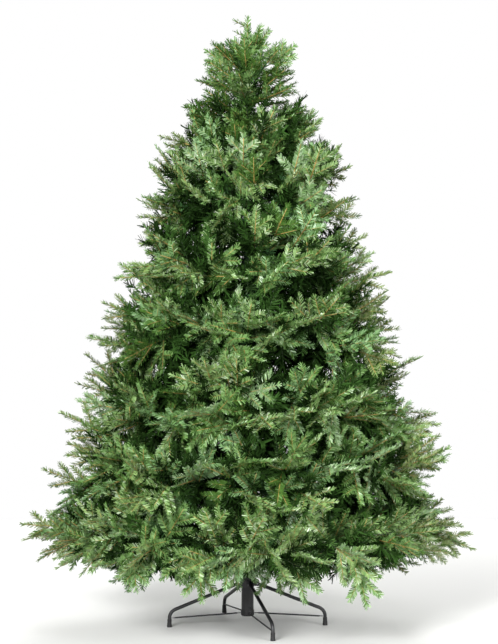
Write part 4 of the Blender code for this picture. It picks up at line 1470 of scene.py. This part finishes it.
def cut_tips(path, tier, chance):
    """The short wires of cut needles along one twig, and the needles wound on the twig itself."""
    shares = [share for _, share in CUT_GREENS.values()]
    length = CUT_TIP_LENGTH * (0.72 + 0.28 * hand_length(tier) / HAND_LENGTH)
    whole = np.linalg.norm(np.diff(path, axis=0), axis=1).sum()
    span = min(CUT_TIP_SPAN, whole * CUT_TIP_LAST) - CUT_TIP_START
    turn = chance.uniform(0, TAU)
    for i in range(CUT_TIPS):
        root, axis = behind(path, CUT_TIP_START + span * (i + chance.uniform(0, 0.6)) / CUT_TIPS)
        opening = chance.uniform(*CUT_TIP_OPENING)
        out = tilted(axis, opening, turn + TAU * i * GOLDEN_TURN + chance.uniform(-0.4, 0.4))
        out = kept_up(root, out, length, CUT_CLEARANCE)
        green = chance.choices(range(len(shares)), shares)[0]
        reach = kept_inside(root, out, length * chance.uniform(*CUT_TIP_SIZES))
        yield Shoot(root, out, squared(UP, out), reach, chance.uniform(-CUT_BEND, CUT_BEND), green)
    green = chance.choices(range(len(shares)), shares)[0]
    yield from wound_on(path, 2, -1, 2, green)


def inside_tips(mass, paths, chance):
    """Short wires that fill a mass's inside, each from the nearest wire to a place of its own."""
    points = np.concatenate([path[3:-2] for path in paths])
    count = INSIDE_TIPS[mass.tier]
    for i in range(count):
        out = math.sqrt((i + chance.random()) / count)
        share = INSIDE_REACH[0] + (INSIDE_REACH[1] - INSIDE_REACH[0]) * out
        radius = mean_reach(mass.tier) * share
        heading = sector_heading(mass, radius, chance.uniform(-INSIDE_SPREAD, INSIDE_SPREAD))
        low = floor_of(mass.tier, radius, heading)
        high = ceiling_of(mass.tier, radius, heading)
        level = (i * GOLDEN_STEP + chance.uniform(0, 0.1)) % 1
        place = polar(radius, heading, low + (high - low) * level)
        root = Vector(points[np.argmin(np.linalg.norm(points - np.array(place), axis=1))])
        out = (place - root).normalized()
        shortest, longest = INSIDE_TIP_LENGTHS
        length = min(longest, max(shortest, (place - root).length + INSIDE_OVERSHOOT))
        out = kept_up(root, out, length, INSIDE_CLEARANCE)
        # The inner greens, as painted shade inside the crown.
        green = chance.choices((3, 4), INSIDE_SHARES)[0]
        yield Shoot(root, out, squared(UP, out), length, chance.uniform(-CUT_BEND, CUT_BEND), green)


cut = {tier: [] for tier in range(TIERS + 1)}
inside = {tier: [] for tier in range(TIERS + 1)}
for tier in range(TIERS):
    chance = random.Random(f"cut_{tier + 1}")
    for path in twigs[tier]:
        cut[tier] += cut_tips(path, tier, chance)
    for path in stems[tier]:
        cut[tier] += wound_on(path, 10, -3, 4, 0)
    per_mass = len(twigs[tier]) // MASSES_PER_TIER[tier]
    for i, mass in enumerate(masses_of(tier)):
        paths = [stems[tier][i], *twigs[tier][i * per_mass : (i + 1) * per_mass]]
        inside[tier] += inside_tips(mass, paths, chance)
# The top's cut tips stand round its thick wire as a sunflower's seeds do, the inner ones shorter towards
# its end. Their turns and pitches are in degrees.
TOP_CUT_TIPS, TOP_CUT_FOOT, TOP_CUT_STEP = 26, 1.71, 0.0075
TOP_CUT_PITCHES, TOP_CUT_LENGTHS = (20, 55), (0.09, 0.13)
TOP_INSIDE_TIPS, TOP_INSIDE_FOOT, TOP_INSIDE_STEP = 34, 1.66, 0.0085
TOP_INSIDE_TURN, TOP_INSIDE_PITCHES = 60, (-15, 35)
TOP_INSIDE_LONGEST, TOP_INSIDE_TAPER, TOP_INSIDE_END = 0.15, 0.45, 2.02

chance = random.Random("cut_top")
for i in range(TOP_CUT_TIPS):
    start = UP * (TOP_CUT_FOOT + TOP_CUT_STEP * i)
    out = direction_of(GOLDEN_DEGREES * i, chance.uniform(*TOP_CUT_PITCHES) + i)
    length, green = chance.uniform(*TOP_CUT_LENGTHS), chance.choice((0, 1, 1, 2))
    cut[TIERS].append(Shoot(start, out, squared(UP, out), length, 0.0, green))
for i in range(TOP_INSIDE_TIPS):
    height = TOP_INSIDE_FOOT + TOP_INSIDE_STEP * i
    out = direction_of(GOLDEN_DEGREES * i + TOP_INSIDE_TURN, chance.uniform(*TOP_INSIDE_PITCHES))
    longest = min(TOP_INSIDE_LONGEST, TOP_INSIDE_TAPER * (TOP_INSIDE_END - height))
    # The top's inside tips take the inner greens too, as painted shade.
    length, green = longest * chance.uniform(0.8, 1.0), chance.choice((3, 4))
    inside[TIERS].append(Shoot(UP * height, out, squared(UP, out), length, 0.0, green))

# PVC film, calendered and cut in strips: darker than the moulded tips, with a smaller, sharper gloss. Those
# inside the crown take darker greens as painted shade and are made dull, so that the gaps between the sprays
# stay dark.
dull = {"inner": (0.70, 0.05), "inner_green": (0.70, 0.05)}
cut_greens = list(plain_greens("cut", CUT_GREENS, (0.28, 0.30), dull))

cut_kind = NeedleKind(CUT_NEEDLE, CUT_WIDTHS, CUT_PER_METRE, CUT_LEAN, TAU / 4, 1.0, 0.04, False)
inside_kind = cut_kind._replace(length=INSIDE_NEEDLE, widths=INSIDE_WIDTHS, per_metre=INSIDE_PER_METRE)
for tier in range(TIERS + 1):
    paths = shoot_paths([shoot for shoot in cut[tier] + inside[tier] if shoot.length > SHORTEST_WIRE], 3)
    wires = tubes(paths, np.array(CUT_WIRE_RADII), 3)
    wire_piece = add_array_piece(f"cut_wires_{tier_name(tier)}", *wires, [wound_tape])
    parts = [needles(cut[tier], cut_kind, 100 + tier), needles(inside[tier], inside_kind, 200 + tier)]
    points, triangles = stacked([part[:2] for part in parts])
    greens = np.concatenate([part[2] for part in parts])
    name = f"cut_needles_{tier_name(tier)}"
    needle_piece = add_array_piece(name, points, triangles, cut_greens, greens)
    for piece in (wire_piece, needle_piece):
        fitted(piece, "needles", *nodes_of(tier))
